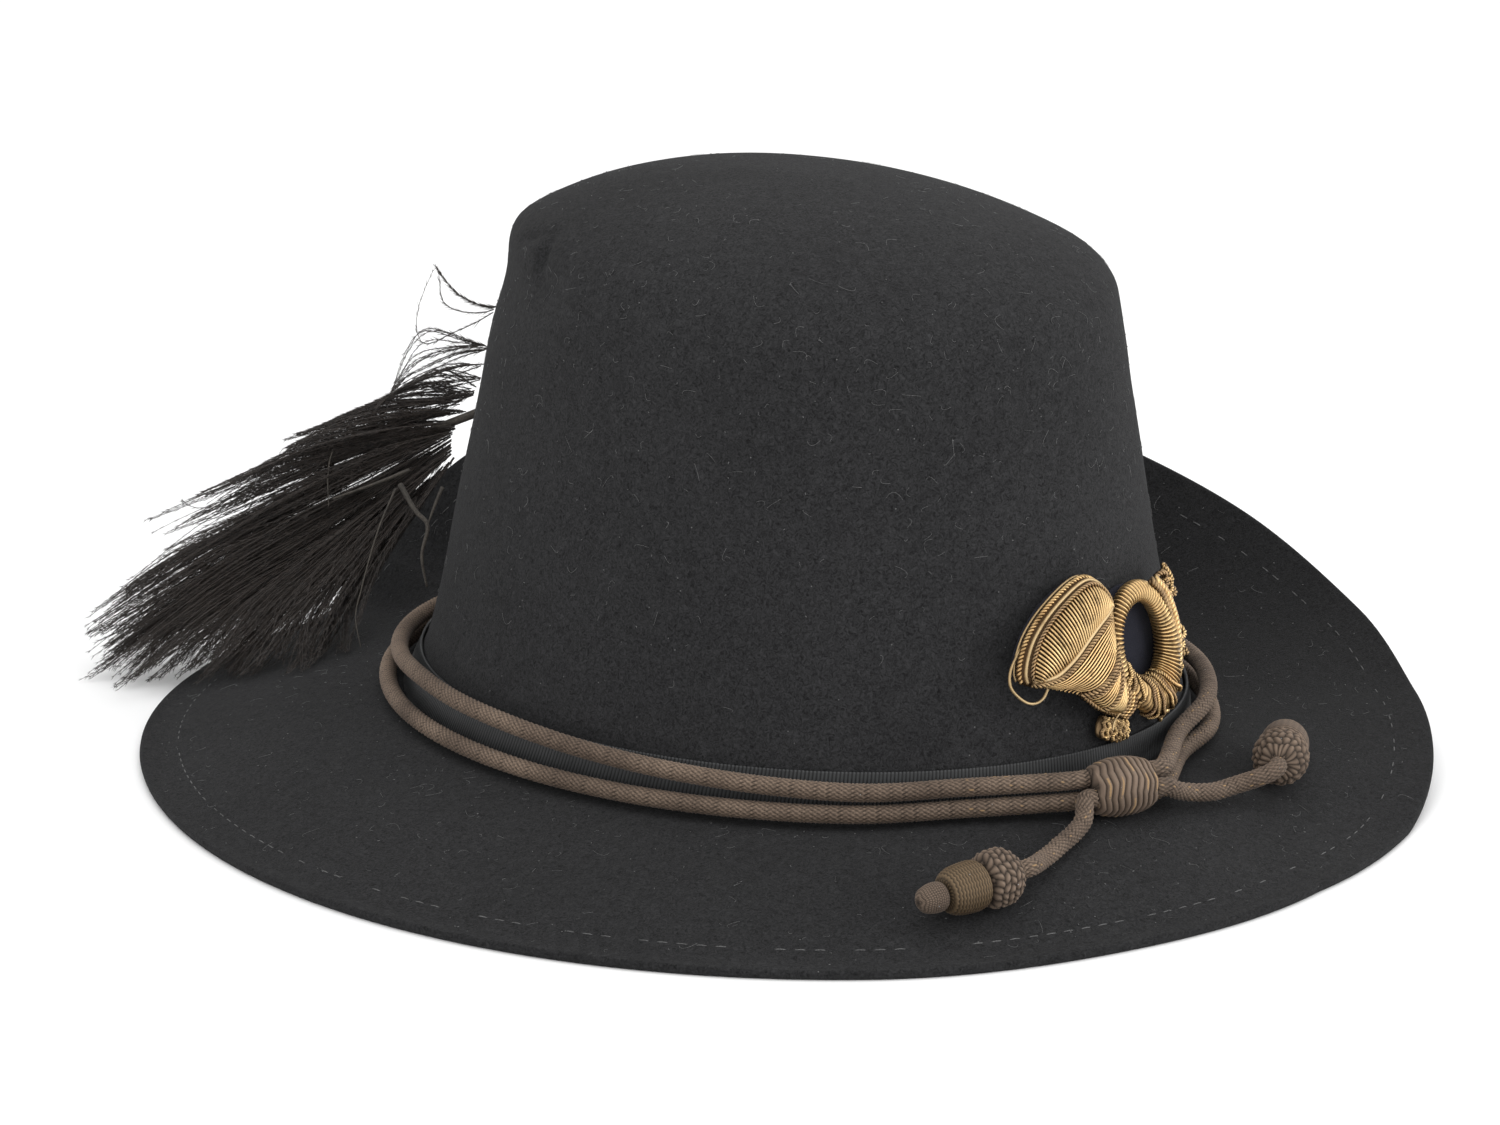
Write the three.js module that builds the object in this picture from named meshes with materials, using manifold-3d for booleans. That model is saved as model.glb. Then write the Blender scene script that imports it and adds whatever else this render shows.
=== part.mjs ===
// Hardee hat: a tall black felt crown with a wide stitched brim, looped up on the wearer's left side,
// with a ribbed ribbon band, a double cord with acorn ends, a bullion bugle horn badge and a plume.
// Millimetres, +Z up, the front of the hat towards -Y and the wearer's left towards +X.

import * as THREE from 'three';
import { mergeVertices } from 'three/addons/utils/BufferGeometryUtils.js';
import Module from 'manifold-3d';

// Felt body
const headLength = 204; // front to back, outside the crown's foot
const headWidth = 171.4; // side to side, outside the crown's foot
const crownHeight = 132; // crown's foot to the top of the dome
const crownNod = 4; // how much lower the dome is at the front than at its middle
const feltThickness = 2.4;
const brimWidth = 66; // crown's foot to the brim's edge, on the flat right side
const brimDrop = 12.4; // the resting edge lies this far below the crown's foot
const dentDepth = 3; // soft dents and bulges pushed into the crown by handling

// Ribbon band
const bandHeight = 10.5;
const bandThickness = 0.8;
const bandLift = 0.9; // band's lower edge above the crown's foot

// Cord, slide knot and acorns
const cordDiameter = 4.5;
const knotTurn = 349.5; // place of the slide knot round the hat
const knotStand = 13; // knot's middle out from the crown's foot
const knotLength = 15;
const knotDiameter = 14;
const knotSkew = 14; // how far the knot turns from lying along the crown, in degrees
const acornLength = 27.8;
const acornDiameter = 13.8;

// Bugle horn badge
const badgeWidth = 60;
const badgeHeight = 40;
const badgeShift = 4.5; // middle of the coil to the wearer's left of the hat's middle
const badgeBend = 120; // radius that the stiff badge is bent to
const backingThickness = 1.1;
const bellDepth = 7;
const coilThickness = 7;
const sideCordDiameter = 2.8;
const tasselDepth = 3;

// Plume and hook
const plumeReach = 98; // scale of the way that the quill stands out from the crown's foot
const plumeRise = 58; // quill's height above the crown's foot, at its highest
const plumeLength = 96; // from where the barbs gather to the plume's tip
const plumeThickness = 9.5; // half of the thickest lock
const quillDiameter = 3.2;
const hookTurn = 126; // where the brim is looped up and hooked to the crown
const hookDiameter = 3;

// Clearance between pieces that touch on the real hat
const gap = 0.3;

// Steps round the hat, round a cord strand and along a tail
const around = 56;
const strandSteps = 48;
const tailSteps = 14;

const halfLength = headLength / 2;
const halfWidth = headWidth / 2;
const floorLevel = -(brimDrop + feltThickness); // underside of the resting edge
const roundGap = gap + halfLength * (1 - Math.cos(Math.PI / around)); // gap between faceted rounds
const badgeRise = bandLift + bandHeight + gap + 0.558 * badgeHeight; // coil's middle, tassel on the band

// Crown sections from foot to top: up as a share of the crown's height, size as a share of the
// foot's size, forward as a share of half the head length.
const crownSections = [
  { up: 0.0, size: 1.0, forward: 0.0 },
  { up: 0.05, size: 0.984, forward: 0.015 },
  { up: 0.1, size: 0.962, forward: 0.025 },
  { up: 0.2, size: 0.929, forward: 0.028 },
  { up: 0.35, size: 0.889, forward: 0.03 },
  { up: 0.5, size: 0.849, forward: 0.036 },
  { up: 0.65, size: 0.811, forward: 0.042 },
  { up: 0.75, size: 0.79, forward: 0.046 },
  { up: 0.82, size: 0.77, forward: 0.044 },
  { up: 0.875, size: 0.715, forward: 0.036 },
  { up: 0.92, size: 0.61, forward: 0.025 },
  { up: 0.955, size: 0.475, forward: 0.01 },
  { up: 0.982, size: 0.3, forward: 0.0 },
  { up: 1.0, size: 0.0, forward: 0.0 },
];

// Brim round the hat: turn in degrees from the front towards the wearer's left, reach and lift as
// shares of the brim width, drop as a share of the brim drop, lean of the edge in degrees.
const brimSections = [
  { turn: 0, reach: 0.826, drop: 1.09, lift: 0.0, lean: -15 },
  { turn: 12, reach: 0.845, drop: 1.09, lift: 0.0, lean: -13 },
  { turn: 30, reach: 0.892, drop: 0.6, lift: 0.0, lean: -7 },
  { turn: 45, reach: 0.927, drop: 0.14, lift: 0.0, lean: 4 },
  { turn: 60, reach: 0.958, drop: 0.0, lift: 0.118, lean: 18 },
  { turn: 75, reach: 0.947, drop: 0.0, lift: 0.303, lean: 36 },
  { turn: 90, reach: 0.85, drop: 0.0, lift: 0.5, lean: 58 },
  { turn: 102, reach: 0.6, drop: 0.0, lift: 0.66, lean: 78 },
  { turn: 114, reach: 0.22, drop: 0.0, lift: 0.76, lean: 98 },
  { turn: 126, reach: -0.06, drop: 0.0, lift: 0.79, lean: 110 },
  { turn: 138, reach: 0.2, drop: 0.0, lift: 0.76, lean: 98 },
  { turn: 150, reach: 0.5, drop: 0.0, lift: 0.68, lean: 78 },
  { turn: 160, reach: 0.7, drop: 0.0, lift: 0.52, lean: 54 },
  { turn: 166, reach: 0.81, drop: 0.0, lift: 0.36, lean: 34 },
  { turn: 172, reach: 0.917, drop: 0.0, lift: 0.08, lean: 6 },
  { turn: 178, reach: 0.962, drop: 0.9, lift: 0.0, lean: -12 },
  { turn: 185, reach: 0.968, drop: 1.09, lift: 0.0, lean: -14 },
  { turn: 225, reach: 0.998, drop: 1.09, lift: 0.0, lean: -15 },
  { turn: 270, reach: 1.032, drop: 1.09, lift: 0.0, lean: -15 },
  { turn: 315, reach: 0.98, drop: 1.09, lift: 0.0, lean: -15 },
  { turn: 340, reach: 0.871, drop: 1.09, lift: 0.0, lean: -15 },
  { turn: 360, reach: 0.826, drop: 1.09, lift: 0.0, lean: -15 },
];

// Dents and bulges of the crown: place by turn and up, spread in degrees and in shares of the
// crown's height, push as a share of the dent depth, inwards when positive.
const crownDents = [
  { turn: 226, up: 0.79, acrossTurn: 20, acrossUp: 0.07, push: 1.0 },
  { turn: 214, up: 0.89, acrossTurn: 22, acrossUp: 0.05, push: -0.8 },
  { turn: 300, up: 0.86, acrossTurn: 34, acrossUp: 0.05, push: 0.35 },
  { turn: 45, up: 0.87, acrossTurn: 22, acrossUp: 0.05, push: -0.5 },
];

// Shares of the brim width where a section has points: the last two are the flat that rests.
const brimShares = [0.012, 0.16, 0.3, 0.45, 0.6, 0.75, 0.89, 0.955, 1.0];

// Height of the upper cord strand above the lower one, in cord diameters, round the hat.
const upperStrand = [
  { turn: 0, rise: 1.15 },
  { turn: 14, rise: 1.25 },
  { turn: 32, rise: 1.7 },
  { turn: 55, rise: 1.4 },
  { turn: 90, rise: 1.12 },
  { turn: 180, rise: 1.15 },
  { turn: 215, rise: 1.5 },
  { turn: 240, rise: 2.0 },
  { turn: 260, rise: 1.95 },
  { turn: 280, rise: 1.65 },
  { turn: 300, rise: 1.3 },
  { turn: 318, rise: 1.1 },
  { turn: 336, rise: 1.12 },
  { turn: 360, rise: 1.15 },
];

// Free cord ends from the knot to the acorns, laid on the brim: offsets from the knot's middle.
const nearTailPoints = [
  [-14.9, -0.7, -4.3],
  [-28.2, -3.5, -6.5],
  [-36.5, -5.2, -7.0],
  [-45.0, -7.9, -5.9],
  [-47.6, -7.2, -6.0],
];
const farTailPoints = [
  [14.4, -7.4, -3.3],
  [23.5, -9.3, -5.4],
  [31.4, -10.6, -5.5],
  [37.6, -14.2, -4.0],
  [41.4, -15.3, -3.0],
  [43.8, -14.1, -2.9],
];
const nearAcornAim = [-25.6, 7.0, -1.8]; // from the acorn's cap to its tip
const farAcornAim = [21.2, 11.8, 0.0];

// Acorn outline from the cord to the tip: along as a share of its length, wide as a share of its
// diameter. Each piece is turned on the lathe by itself.
const acornSections = {
  cap: [
    { along: 0.0, wide: 0.42 },
    { along: 0.05, wide: 0.76 },
    { along: 0.17, wide: 0.99 },
    { along: 0.28, wide: 0.98 },
    { along: 0.345, wide: 0.87 },
  ],
  nut: [
    { along: 0.356, wide: 0.76 },
    { along: 0.46, wide: 0.86 },
    { along: 0.6, wide: 0.83 },
    { along: 0.725, wide: 0.68 },
  ],
  tip: [
    { along: 0.736, wide: 0.46 },
    { along: 0.82, wide: 0.51 },
    { along: 0.93, wide: 0.42 },
    { along: 0.985, wide: 0.22 },
  ],
};

// Outlines on the badge from the coil's middle: across as a share of the badge width, high as a
// share of the badge height.
const bellOutline = [
  { across: -0.65, high: -0.06 },
  { across: -0.61, high: 0.14 },
  { across: -0.467, high: 0.333 },
  { across: -0.267, high: 0.44 },
  { across: -0.18, high: 0.33 },
  { across: -0.18, high: 0.05 },
  { across: -0.183, high: -0.35 },
  { across: -0.29, high: -0.315 },
  { across: -0.4, high: -0.17 },
  { across: -0.55, high: -0.115 },
];
const backingOutline = [
  { across: -0.63, high: -0.05 },
  { across: -0.59, high: 0.12 },
  { across: -0.46, high: 0.31 },
  { across: -0.27, high: 0.41 },
  { across: -0.13, high: 0.28 },
  { across: 0.03, high: 0.29 },
  { across: 0.17, high: 0.2 },
  { across: 0.22, high: -0.02 },
  { across: 0.17, high: -0.28 },
  { across: 0.02, high: -0.41 },
  { across: -0.15, high: -0.35 },
  { across: -0.29, high: -0.29 },
  { across: -0.4, high: -0.145 },
  { across: -0.55, high: -0.095 },
];
const tasselOutline = [
  { across: -0.238, high: -0.39 },
  { across: -0.273, high: -0.49 },
  { across: -0.205, high: -0.545 },
  { across: -0.133, high: -0.558 },
  { across: -0.094, high: -0.475 },
  { across: -0.165, high: -0.43 },
];

// Half thickness of the coiled horn tube round the coil, as a share of its full thickness.
const coilSections = [
  { angle: 0, half: 0.5 },
  { angle: 90, half: 0.36 },
  { angle: 150, half: 0.3 },
  { angle: 200, half: 0.3 },
  { angle: 240, half: 0.5 },
  { angle: 270, half: 0.66 },
  { angle: 310, half: 0.64 },
  { angle: 360, half: 0.5 },
];

// Knotted cord down the badge's side, with its thickness as a share of the side cord's diameter.
const sideCordSections = [
  { across: 0.158, high: 0.315, thick: 1.4 },
  { across: 0.214, high: 0.225, thick: 1.1 },
  { across: 0.259, high: 0.07, thick: 1.0 },
  { across: 0.272, high: -0.05, thick: 1.3 },
  { across: 0.265, high: -0.12, thick: 1.0 },
  { across: 0.261, high: -0.215, thick: 1.3 },
  { across: 0.228, high: -0.31, thick: 0.9 },
  { across: 0.182, high: -0.4, thick: 1.0 },
  { across: 0.133, high: -0.475, thick: 1.2 },
];

// Quill of the plume from its root: turn round the hat, reach as a share of the plume's reach and
// rise as a share of its rise.
const quillSections = [
  { turn: 154, reach: 0.0, rise: 0.92 },
  { turn: 163, reach: 0.12, rise: 0.93 },
  { turn: 171, reach: 0.28, rise: 0.79 },
  { turn: 182, reach: 0.49, rise: 0.56 },
  { turn: 191, reach: 0.73, rise: 0.25 },
];
const quillRoot = { turn: 146, rise: 0.78 }; // seat of the quill against the crown

// Locks of the plume, from the top down. Each is a soft blade through places in the plume's own
// plane: left of where the barbs gather, down from it and nearer than it, as shares of the plume's
// reach. Thick is a share of the thickest lock.
const plumeGather = { turn: 171.2, reach: 0.29, rise: 0.77 };
const plumePlane = { turn: 50, tilt: 16 }; // how the plane faces: round from the front, and up
const plumeLocks = [
  { thick: 0.5, places: [[0.02, -0.16, 0], [0.17, -0.08, 0.02], [0.24, -0.01, 0.04]] },
  { thick: 0.55, places: [[0.06, -0.06, 0], [0.29, -0.03, 0.02], [0.47, 0.05, 0.05]] },
  { thick: 0.7, places: [[0.23, 0.04, 0.02], [0.5, 0.12, 0.06], [0.81, 0.26, 0.1]] },
  { thick: 1.0, places: [[0.26, 0.12, 0.03], [0.58, 0.27, 0.09], [0.97, 0.52, 0.16]] },
  { thick: 1.0, places: [[0.26, 0.2, 0.05], [0.6, 0.41, 0.12], [0.95, 0.65, 0.2]] },
  { thick: 0.85, places: [[0.26, 0.26, 0.06], [0.54, 0.46, 0.19], [0.83, 0.68, 0.28]] },
  { thick: 0.85, places: [[0.24, 0.27, 0.09], [0.48, 0.48, 0.25], [0.66, 0.66, 0.37]] },
  { thick: 0.75, places: [[0.2, 0.26, 0.12], [0.39, 0.47, 0.29], [0.54, 0.68, 0.43]] },
  { thick: 0.7, places: [[0.14, 0.25, 0.1], [0.28, 0.46, 0.29], [0.37, 0.67, 0.44]] },
  { thick: 0.6, places: [[0.08, 0.23, 0.08], [0.19, 0.42, 0.21], [0.24, 0.58, 0.3]] },
];

const materials = {
  felt: new THREE.MeshStandardMaterial({ color: 0x17171a, roughness: 0.95 }),
  ribbon: new THREE.MeshStandardMaterial({ color: 0x0e0e10, roughness: 0.6 }),
  cord: new THREE.MeshStandardMaterial({ color: 0x40362f, roughness: 0.85 }),
  bullion: new THREE.MeshStandardMaterial({ color: 0xb08a4e, roughness: 0.4, metalness: 0.8 }),
  velvet: new THREE.MeshStandardMaterial({ color: 0x121420, roughness: 1.0 }),
  feather: new THREE.MeshStandardMaterial({ color: 0x14100e, roughness: 0.7 }),
  wire: new THREE.MeshStandardMaterial({ color: 0x1c1c1e, roughness: 0.5, metalness: 0.7 }),
};

const radians = THREE.MathUtils.degToRad;
const vector = (x, y, z) => new THREE.Vector3(x, y, z);
const up = vector(0, 0, 1);

// A smooth value of one column of a table at a place between its rows, with no overshoot.
function valueAt(rows, key, column, place) {
  let row = 0;
  while (row < rows.length - 2 && place > rows[row + 1][key]) row += 1;
  const slopes = rows.slice(1).map((next, i) => (next[column] - rows[i][column]) / (next[key] - rows[i][key]));
  const tangent = (i) => {
    if (i === 0 || i === rows.length - 1) return slopes[Math.min(i, slopes.length - 1)];
    const [before, after] = [slopes[i - 1], slopes[i]];
    return before * after <= 0 ? 0 : (2 * before * after) / (before + after);
  };
  const span = rows[row + 1][key] - rows[row][key];
  const t = THREE.MathUtils.clamp((place - rows[row][key]) / span, 0, 1);
  const start = rows[row][column];
  const end = rows[row + 1][column];
  return (
    (2 * t ** 3 - 3 * t ** 2 + 1) * start +
    (t ** 3 - 2 * t ** 2 + t) * span * tangent(row) +
    (3 * t ** 2 - 2 * t ** 3) * end +
    (t ** 3 - t ** 2) * span * tangent(row + 1)
  );
}

const wrapTurn = (turn) => ((turn % 360) + 360) % 360;
const turnApart = (a, b) => Math.abs(wrapTurn(a - b + 180) - 180);

// The crown's foot at a turn: the point and the direction straight out from it.
function foot(turn) {
  const angle = radians(turn);
  const point = vector(halfWidth * Math.sin(angle), -halfLength * Math.cos(angle), 0);
  const outward = vector(Math.sin(angle) / halfWidth, -Math.cos(angle) / halfLength, 0).normalize();
  return { point, outward };
}

// The crown's surface at a turn and a share of its height, with a depth under the surface.
function crownPoint(turn, share, depth = 0) {
  const angle = radians(turn);
  const size = valueAt(crownSections, 'up', 'size', share);
  const forward = halfLength * valueAt(crownSections, 'up', 'forward', share);
  const step = 0.004;
  const [low, high] = [Math.max(share - step, 0), Math.min(share + step, 1)];
  const shrink = valueAt(crownSections, 'up', 'size', low) - valueAt(crownSections, 'up', 'size', high);
  const lean = Math.atan2(shrink * 0.5 * (halfLength + halfWidth), (high - low) * crownHeight);
  let inward = depth * Math.cos(lean);
  for (const dent of crownDents) {
    const across = turnApart(turn, dent.turn) / dent.acrossTurn;
    const along = (share - dent.up) / dent.acrossUp;
    inward += dentDepth * dent.push * Math.exp(-(across ** 2) - along ** 2) * Math.min(size * 3, 1);
  }
  const wide = Math.max(halfWidth * size - inward, 0);
  const long = Math.max(halfLength * size - inward, 0);
  const back = -long * Math.cos(angle) - forward;
  const tilt = (crownNod * share ** 2 * back) / halfLength;
  return vector(wide * Math.sin(angle), back, crownHeight * share - depth * Math.sin(lean) + tilt);
}

// One brim section at a turn: a curve from the crown's foot to the edge, as out and rise.
function brimCurve(turn) {
  const at = (column) => valueAt(brimSections, 'turn', column, wrapTurn(turn));
  const reach = brimWidth * at('reach');
  const rise = brimWidth * at('lift') - brimDrop * at('drop');
  const lean = radians(at('lean'));
  const rootHandle = brimWidth * 0.34;
  const edgeHandle = brimWidth * 0.36;
  return new THREE.CubicBezierCurve(
    new THREE.Vector2(0, 0),
    new THREE.Vector2(rootHandle, -0.05 * rootHandle),
    new THREE.Vector2(reach - edgeHandle * Math.cos(lean), rise - edgeHandle * Math.sin(lean)),
    new THREE.Vector2(reach, rise),
  );
}

// The brim's upper surface at a turn and a share of the way to the edge, with a depth under it. The
// felt lies flat where it would sink below the surface that the hat rests on.
function brimPoint(turn, share, depth = 0) {
  const curve = brimCurve(turn);
  const place = curve.getPoint(share);
  const along = curve.getTangent(share);
  const { point, outward } = foot(turn);
  point.addScaledVector(outward, place.x + depth * along.y);
  const lowest = floorLevel + feltThickness - depth;
  return point.setZ(Math.max(place.y - depth * along.x, lowest));
}

// A closed skin over rings of points, from a pole point to a pole point.
function skinBetweenPoles(firstPole, rings, lastPole) {
  const positions = [firstPole, ...rings.flat(), lastPole].flatMap((p) => [p.x, p.y, p.z]);
  const count = rings[0].length;
  const last = 1 + rings.length * count;
  const faces = [];
  for (let i = 0; i < count; i += 1) {
    const next = (i + 1) % count;
    faces.push(0, 1 + i, 1 + next);
    faces.push(last, last - count + next, last - count + i);
    for (let ring = 0; ring < rings.length - 1; ring += 1) {
      const here = 1 + ring * count;
      const there = here + count;
      faces.push(here + i, there + i, there + next, here + i, there + next, here + next);
    }
  }
  return skin(positions, faces);
}

// A closed skin over sections that follow each other in a loop.
function skinLoop(sections) {
  const count = sections[0].length;
  const faces = [];
  sections.forEach((section, s) => {
    const here = s * count;
    const there = ((s + 1) % sections.length) * count;
    for (let i = 0; i < count; i += 1) {
      const next = (i + 1) % count;
      faces.push(here + i, there + i, there + next, here + i, there + next, here + next);
    }
  });
  return skin(sections.flat().flatMap((p) => [p.x, p.y, p.z]), faces);
}

// A geometry from positions and faces, turned so that its faces point out.
function skin(positions, faces) {
  const corner = (index) => vector(...positions.slice(index * 3, index * 3 + 3));
  let volume = 0;
  for (let i = 0; i < faces.length; i += 3) {
    volume += corner(faces[i]).dot(corner(faces[i + 1]).cross(corner(faces[i + 2])));
  }
  if (volume < 0) {
    for (let i = 0; i < faces.length; i += 3) {
      [faces[i + 1], faces[i + 2]] = [faces[i + 2], faces[i + 1]];
    }
  }
  const geometry = new THREE.BufferGeometry();
  geometry.setAttribute('position', new THREE.Float32BufferAttribute(positions, 3));
  geometry.setIndex(faces);
  geometry.computeVertexNormals();
  return geometry;
}

function solid(name, geometry, material) {
  const mesh = new THREE.Mesh(geometry, material);
  mesh.name = name;
  return mesh;
}

// Turns round the hat, evenly spaced.
const turns = Array.from({ length: around }, (_, i) => (360 * i) / around);

// Heights of the band's lower edge, middle and upper edge above the crown's foot.
const bandHeights = [0, 0.5, 1].map((share) => bandLift + share * bandHeight);

// Shares of the crown's height where the felt has rings: behind the band, then up the wall and
// closer together on the dome.
const wallShares = [0.16, 0.26, 0.4, 0.58, 0.72, 0.8, 0.855, 0.9, 0.935, 0.965, 0.988];
const crownShares = [...bandHeights.map((height) => height / crownHeight), ...wallShares];

// Crown and brim, pressed from one felt cone: one solid, hollow inside.
function feltBody() {
  const ring = (pointAt) => turns.map(pointAt);
  const innerCrown = crownShares.map((share) => ring((turn) => crownPoint(turn, share, feltThickness)));
  const outerCrown = crownShares.map((share) => ring((turn) => crownPoint(turn, share)));
  const under = brimShares.map((share) => ring((turn) => brimPoint(turn, share, feltThickness)));
  const top = brimShares.map((share) => ring((turn) => brimPoint(turn, share)));
  const edge = ring((turn) => {
    const middle = brimPoint(turn, 1, feltThickness / 2);
    const tangent = brimCurve(turn).getTangent(1);
    middle.addScaledVector(foot(turn).outward, 0.3 * feltThickness * tangent.x);
    return middle.setZ(middle.z + 0.3 * feltThickness * Math.max(tangent.y, 0));
  });
  const bend = ring((turn) => {
    const { point, outward } = foot(turn);
    return point.addScaledVector(outward, -0.75 * feltThickness).setZ(-0.7 * feltThickness);
  });
  const rings = [...innerCrown.reverse(), bend, ...under, edge, ...top.reverse(), ...outerCrown];
  const innerTop = crownPoint(0, 1).setX(0);
  innerTop.z -= feltThickness;
  return skinBetweenPoles(innerTop, rings, crownPoint(0, 1));
}

// The crown's surface at a height above the foot, moved straight out by a distance.
function besideCrown(turn, height, out) {
  const surface = crownPoint(turn, THREE.MathUtils.clamp(height / crownHeight, 0, 1));
  return surface.addScaledVector(foot(turn).outward, out).setZ(height);
}

// Ribbed ribbon round the crown's foot.
function hatBand() {
  const sections = turns.map((turn) => [
    ...bandHeights.map((height) => besideCrown(turn, height, roundGap)),
    ...bandHeights.toReversed().map((height) => besideCrown(turn, height, roundGap + bandThickness)),
  ]);
  return skinLoop(sections);
}

// A round tube along a smooth curve through points.
function tube(points, diameter, steps, sides) {
  const section = new THREE.Shape(
    Array.from({ length: sides }, (_, i) => {
      const angle = (2 * Math.PI * i) / sides;
      return new THREE.Vector2(Math.cos(angle), Math.sin(angle)).multiplyScalar(diameter / 2);
    }),
  );
  const path = new THREE.CatmullRomCurve3(points, false, 'centripetal');
  return new THREE.ExtrudeGeometry(section, { steps, bevelEnabled: false, extrudePath: path });
}

// Middle of the slide knot and the way that it lies.
const knotFoot = foot(knotTurn);
const knotMiddle = knotFoot.point.clone().addScaledVector(knotFoot.outward, knotStand);
knotMiddle.z = knotDiameter / 2 + gap + brimPoint(knotTurn, knotStand / brimWidth).z;
const knotAxis = vector(-knotFoot.outward.y, knotFoot.outward.x, 0).applyAxisAngle(up, -radians(knotSkew));
const knotFront = vector(knotAxis.y, -knotAxis.x, 0);

// A place on one of the knot's faces or straight out from it: side is 1 towards the wearer's left
// and -1 towards the right.
function knotFace(side, front, rise, straight = 0) {
  const out = side * (knotLength / 2 + gap + straight);
  return knotMiddle.clone().addScaledVector(knotAxis, out).addScaledVector(knotFront, front).setZ(knotMiddle.z + rise);
}

// Slide knot: a short barrel of cord wound over the strands.
function slideKnot() {
  const ribs = 6;
  const steps = ribs * 2;
  const profile = [new THREE.Vector2(0, -knotLength / 2)];
  for (let i = 0; i <= steps; i += 1) {
    const share = i / steps;
    const barrel = 0.8 + 0.2 * Math.sin(Math.PI * share);
    const rib = i % 2 ? 1 : 0.93;
    profile.push(new THREE.Vector2((knotDiameter / 2) * barrel * rib, knotLength * (share - 0.5)));
  }
  profile.push(new THREE.Vector2(0, knotLength / 2));
  const geometry = new THREE.LatheGeometry(profile, 16);
  geometry.applyQuaternion(new THREE.Quaternion().setFromUnitVectors(vector(0, 1, 0), knotAxis));
  return geometry.translate(...knotMiddle);
}

// One cord strand all the way round the crown, from one face of the knot to the other. The lower
// strand lies on the brim and against the band, and the upper one above it.
function strand(isUpper) {
  const leaveTurn = 22;
  const spots = 24;
  const straight = 0.7 * cordDiameter;
  const out = 3 * roundGap + bandThickness + cordDiameter / 2;
  const inset = -0.28 * cordDiameter;
  const rise = (isUpper ? 0.56 : -0.56) * cordDiameter;
  const points = [knotFace(1, inset, rise), knotFace(1, inset, rise, straight)];
  for (let i = 0; i <= spots; i += 1) {
    const turn = knotTurn + leaveTurn + ((360 - 2 * leaveTurn) * i) / spots;
    const above = isUpper ? cordDiameter * valueAt(upperStrand, 'turn', 'rise', wrapTurn(turn)) : 0;
    const slack = i === 0 || i === spots ? 0.12 * knotStand : 0;
    points.push(besideCrown(turn, cordDiameter / 2 + 2.2 * roundGap + above, out + slack));
  }
  points.push(knotFace(-1, inset, rise, straight), knotFace(-1, inset, rise));
  return tube(points, cordDiameter, strandSteps, 8);
}

// A tail: out of a face of the knot beside the strands, then through its points.
function tail(side, front, rise, points) {
  const straight = 0.5 * cordDiameter;
  const laid = points.map(([x, y, z]) => knotMiddle.clone().add(vector(x, y, z)));
  return [knotFace(side, front, rise), knotFace(side, front, rise, straight), ...laid];
}

const nearTail = tail(-1, 0.64 * cordDiameter, -0.2 * cordDiameter, nearTailPoints);
const farTail = tail(1, 0.64 * cordDiameter, -0.1 * cordDiameter, farTailPoints);

// One turned piece of an acorn, from its sections, placed at the end of a tail.
function acornPiece(sections, tail, aim) {
  const profile = sections.map(
    ({ along, wide }) => new THREE.Vector2((acornDiameter / 2) * wide, acornLength * along),
  );
  const round = [new THREE.Vector2(0, profile[0].y), ...profile, new THREE.Vector2(0, profile.at(-1).y)];
  const direction = vector(...aim).normalize();
  const geometry = new THREE.LatheGeometry(round, 14);
  geometry.applyQuaternion(new THREE.Quaternion().setFromUnitVectors(vector(0, 1, 0), direction));
  return geometry.translate(...tail.at(-1).clone().addScaledVector(direction, 2 * gap));
}

// A place on the badge: across and high from the coil's middle, out from the badge's back. The back
// is straight up and down between two places on the crown, and bent less than the crown sideways.
function badgePoint(across, high, out) {
  const [low, top] = [badgeRise - 0.56 * badgeHeight, badgeRise + 0.44 * badgeHeight];
  const height = badgeRise + high;
  const wall = (level) => crownPoint(0, level / crownHeight).y;
  const surface = THREE.MathUtils.mapLinear(height, low, top, wall(low), wall(top));
  const x = badgeShift + across;
  return vector(x, surface - roundGap - out + x ** 2 / (2 * badgeBend), height);
}

// A padded shape on the badge, from an outline that can be seen whole from its middle: each layer
// gives the outline's scale about that middle and its height as a share of the depth.
function badgePad(outline, bottom, depth, layers, divisions) {
  const corners = outline.map(({ across, high }) => vector(across * badgeWidth, high * badgeHeight, 0));
  const rim = new THREE.CatmullRomCurve3(corners, true, 'centripetal').getPoints(divisions).slice(0, -1);
  const middle = rim.reduce((sum, p) => sum.add(p), vector(0, 0, 0)).divideScalar(rim.length);
  const place = (p, scale, share) => {
    const { x, y } = p.clone().sub(middle).multiplyScalar(scale).add(middle);
    return badgePoint(x, y, bottom + depth * share);
  };
  const rings = layers.map(({ scale, share }) => rim.map((p) => place(p, scale, share)));
  return skinBetweenPoles(place(middle, 0, 0), rings, place(middle, 0, 1));
}

const flatLayers = [
  { scale: 1, share: 0 },
  { scale: 1, share: 1 },
];
const paddedLayers = [
  { scale: 0.86, share: 0 },
  { scale: 1, share: 0.22 },
  { scale: 1, share: 0.5 },
  { scale: 0.92, share: 0.78 },
  { scale: 0.72, share: 0.95 },
];

const hornBottom = backingThickness + gap;

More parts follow.
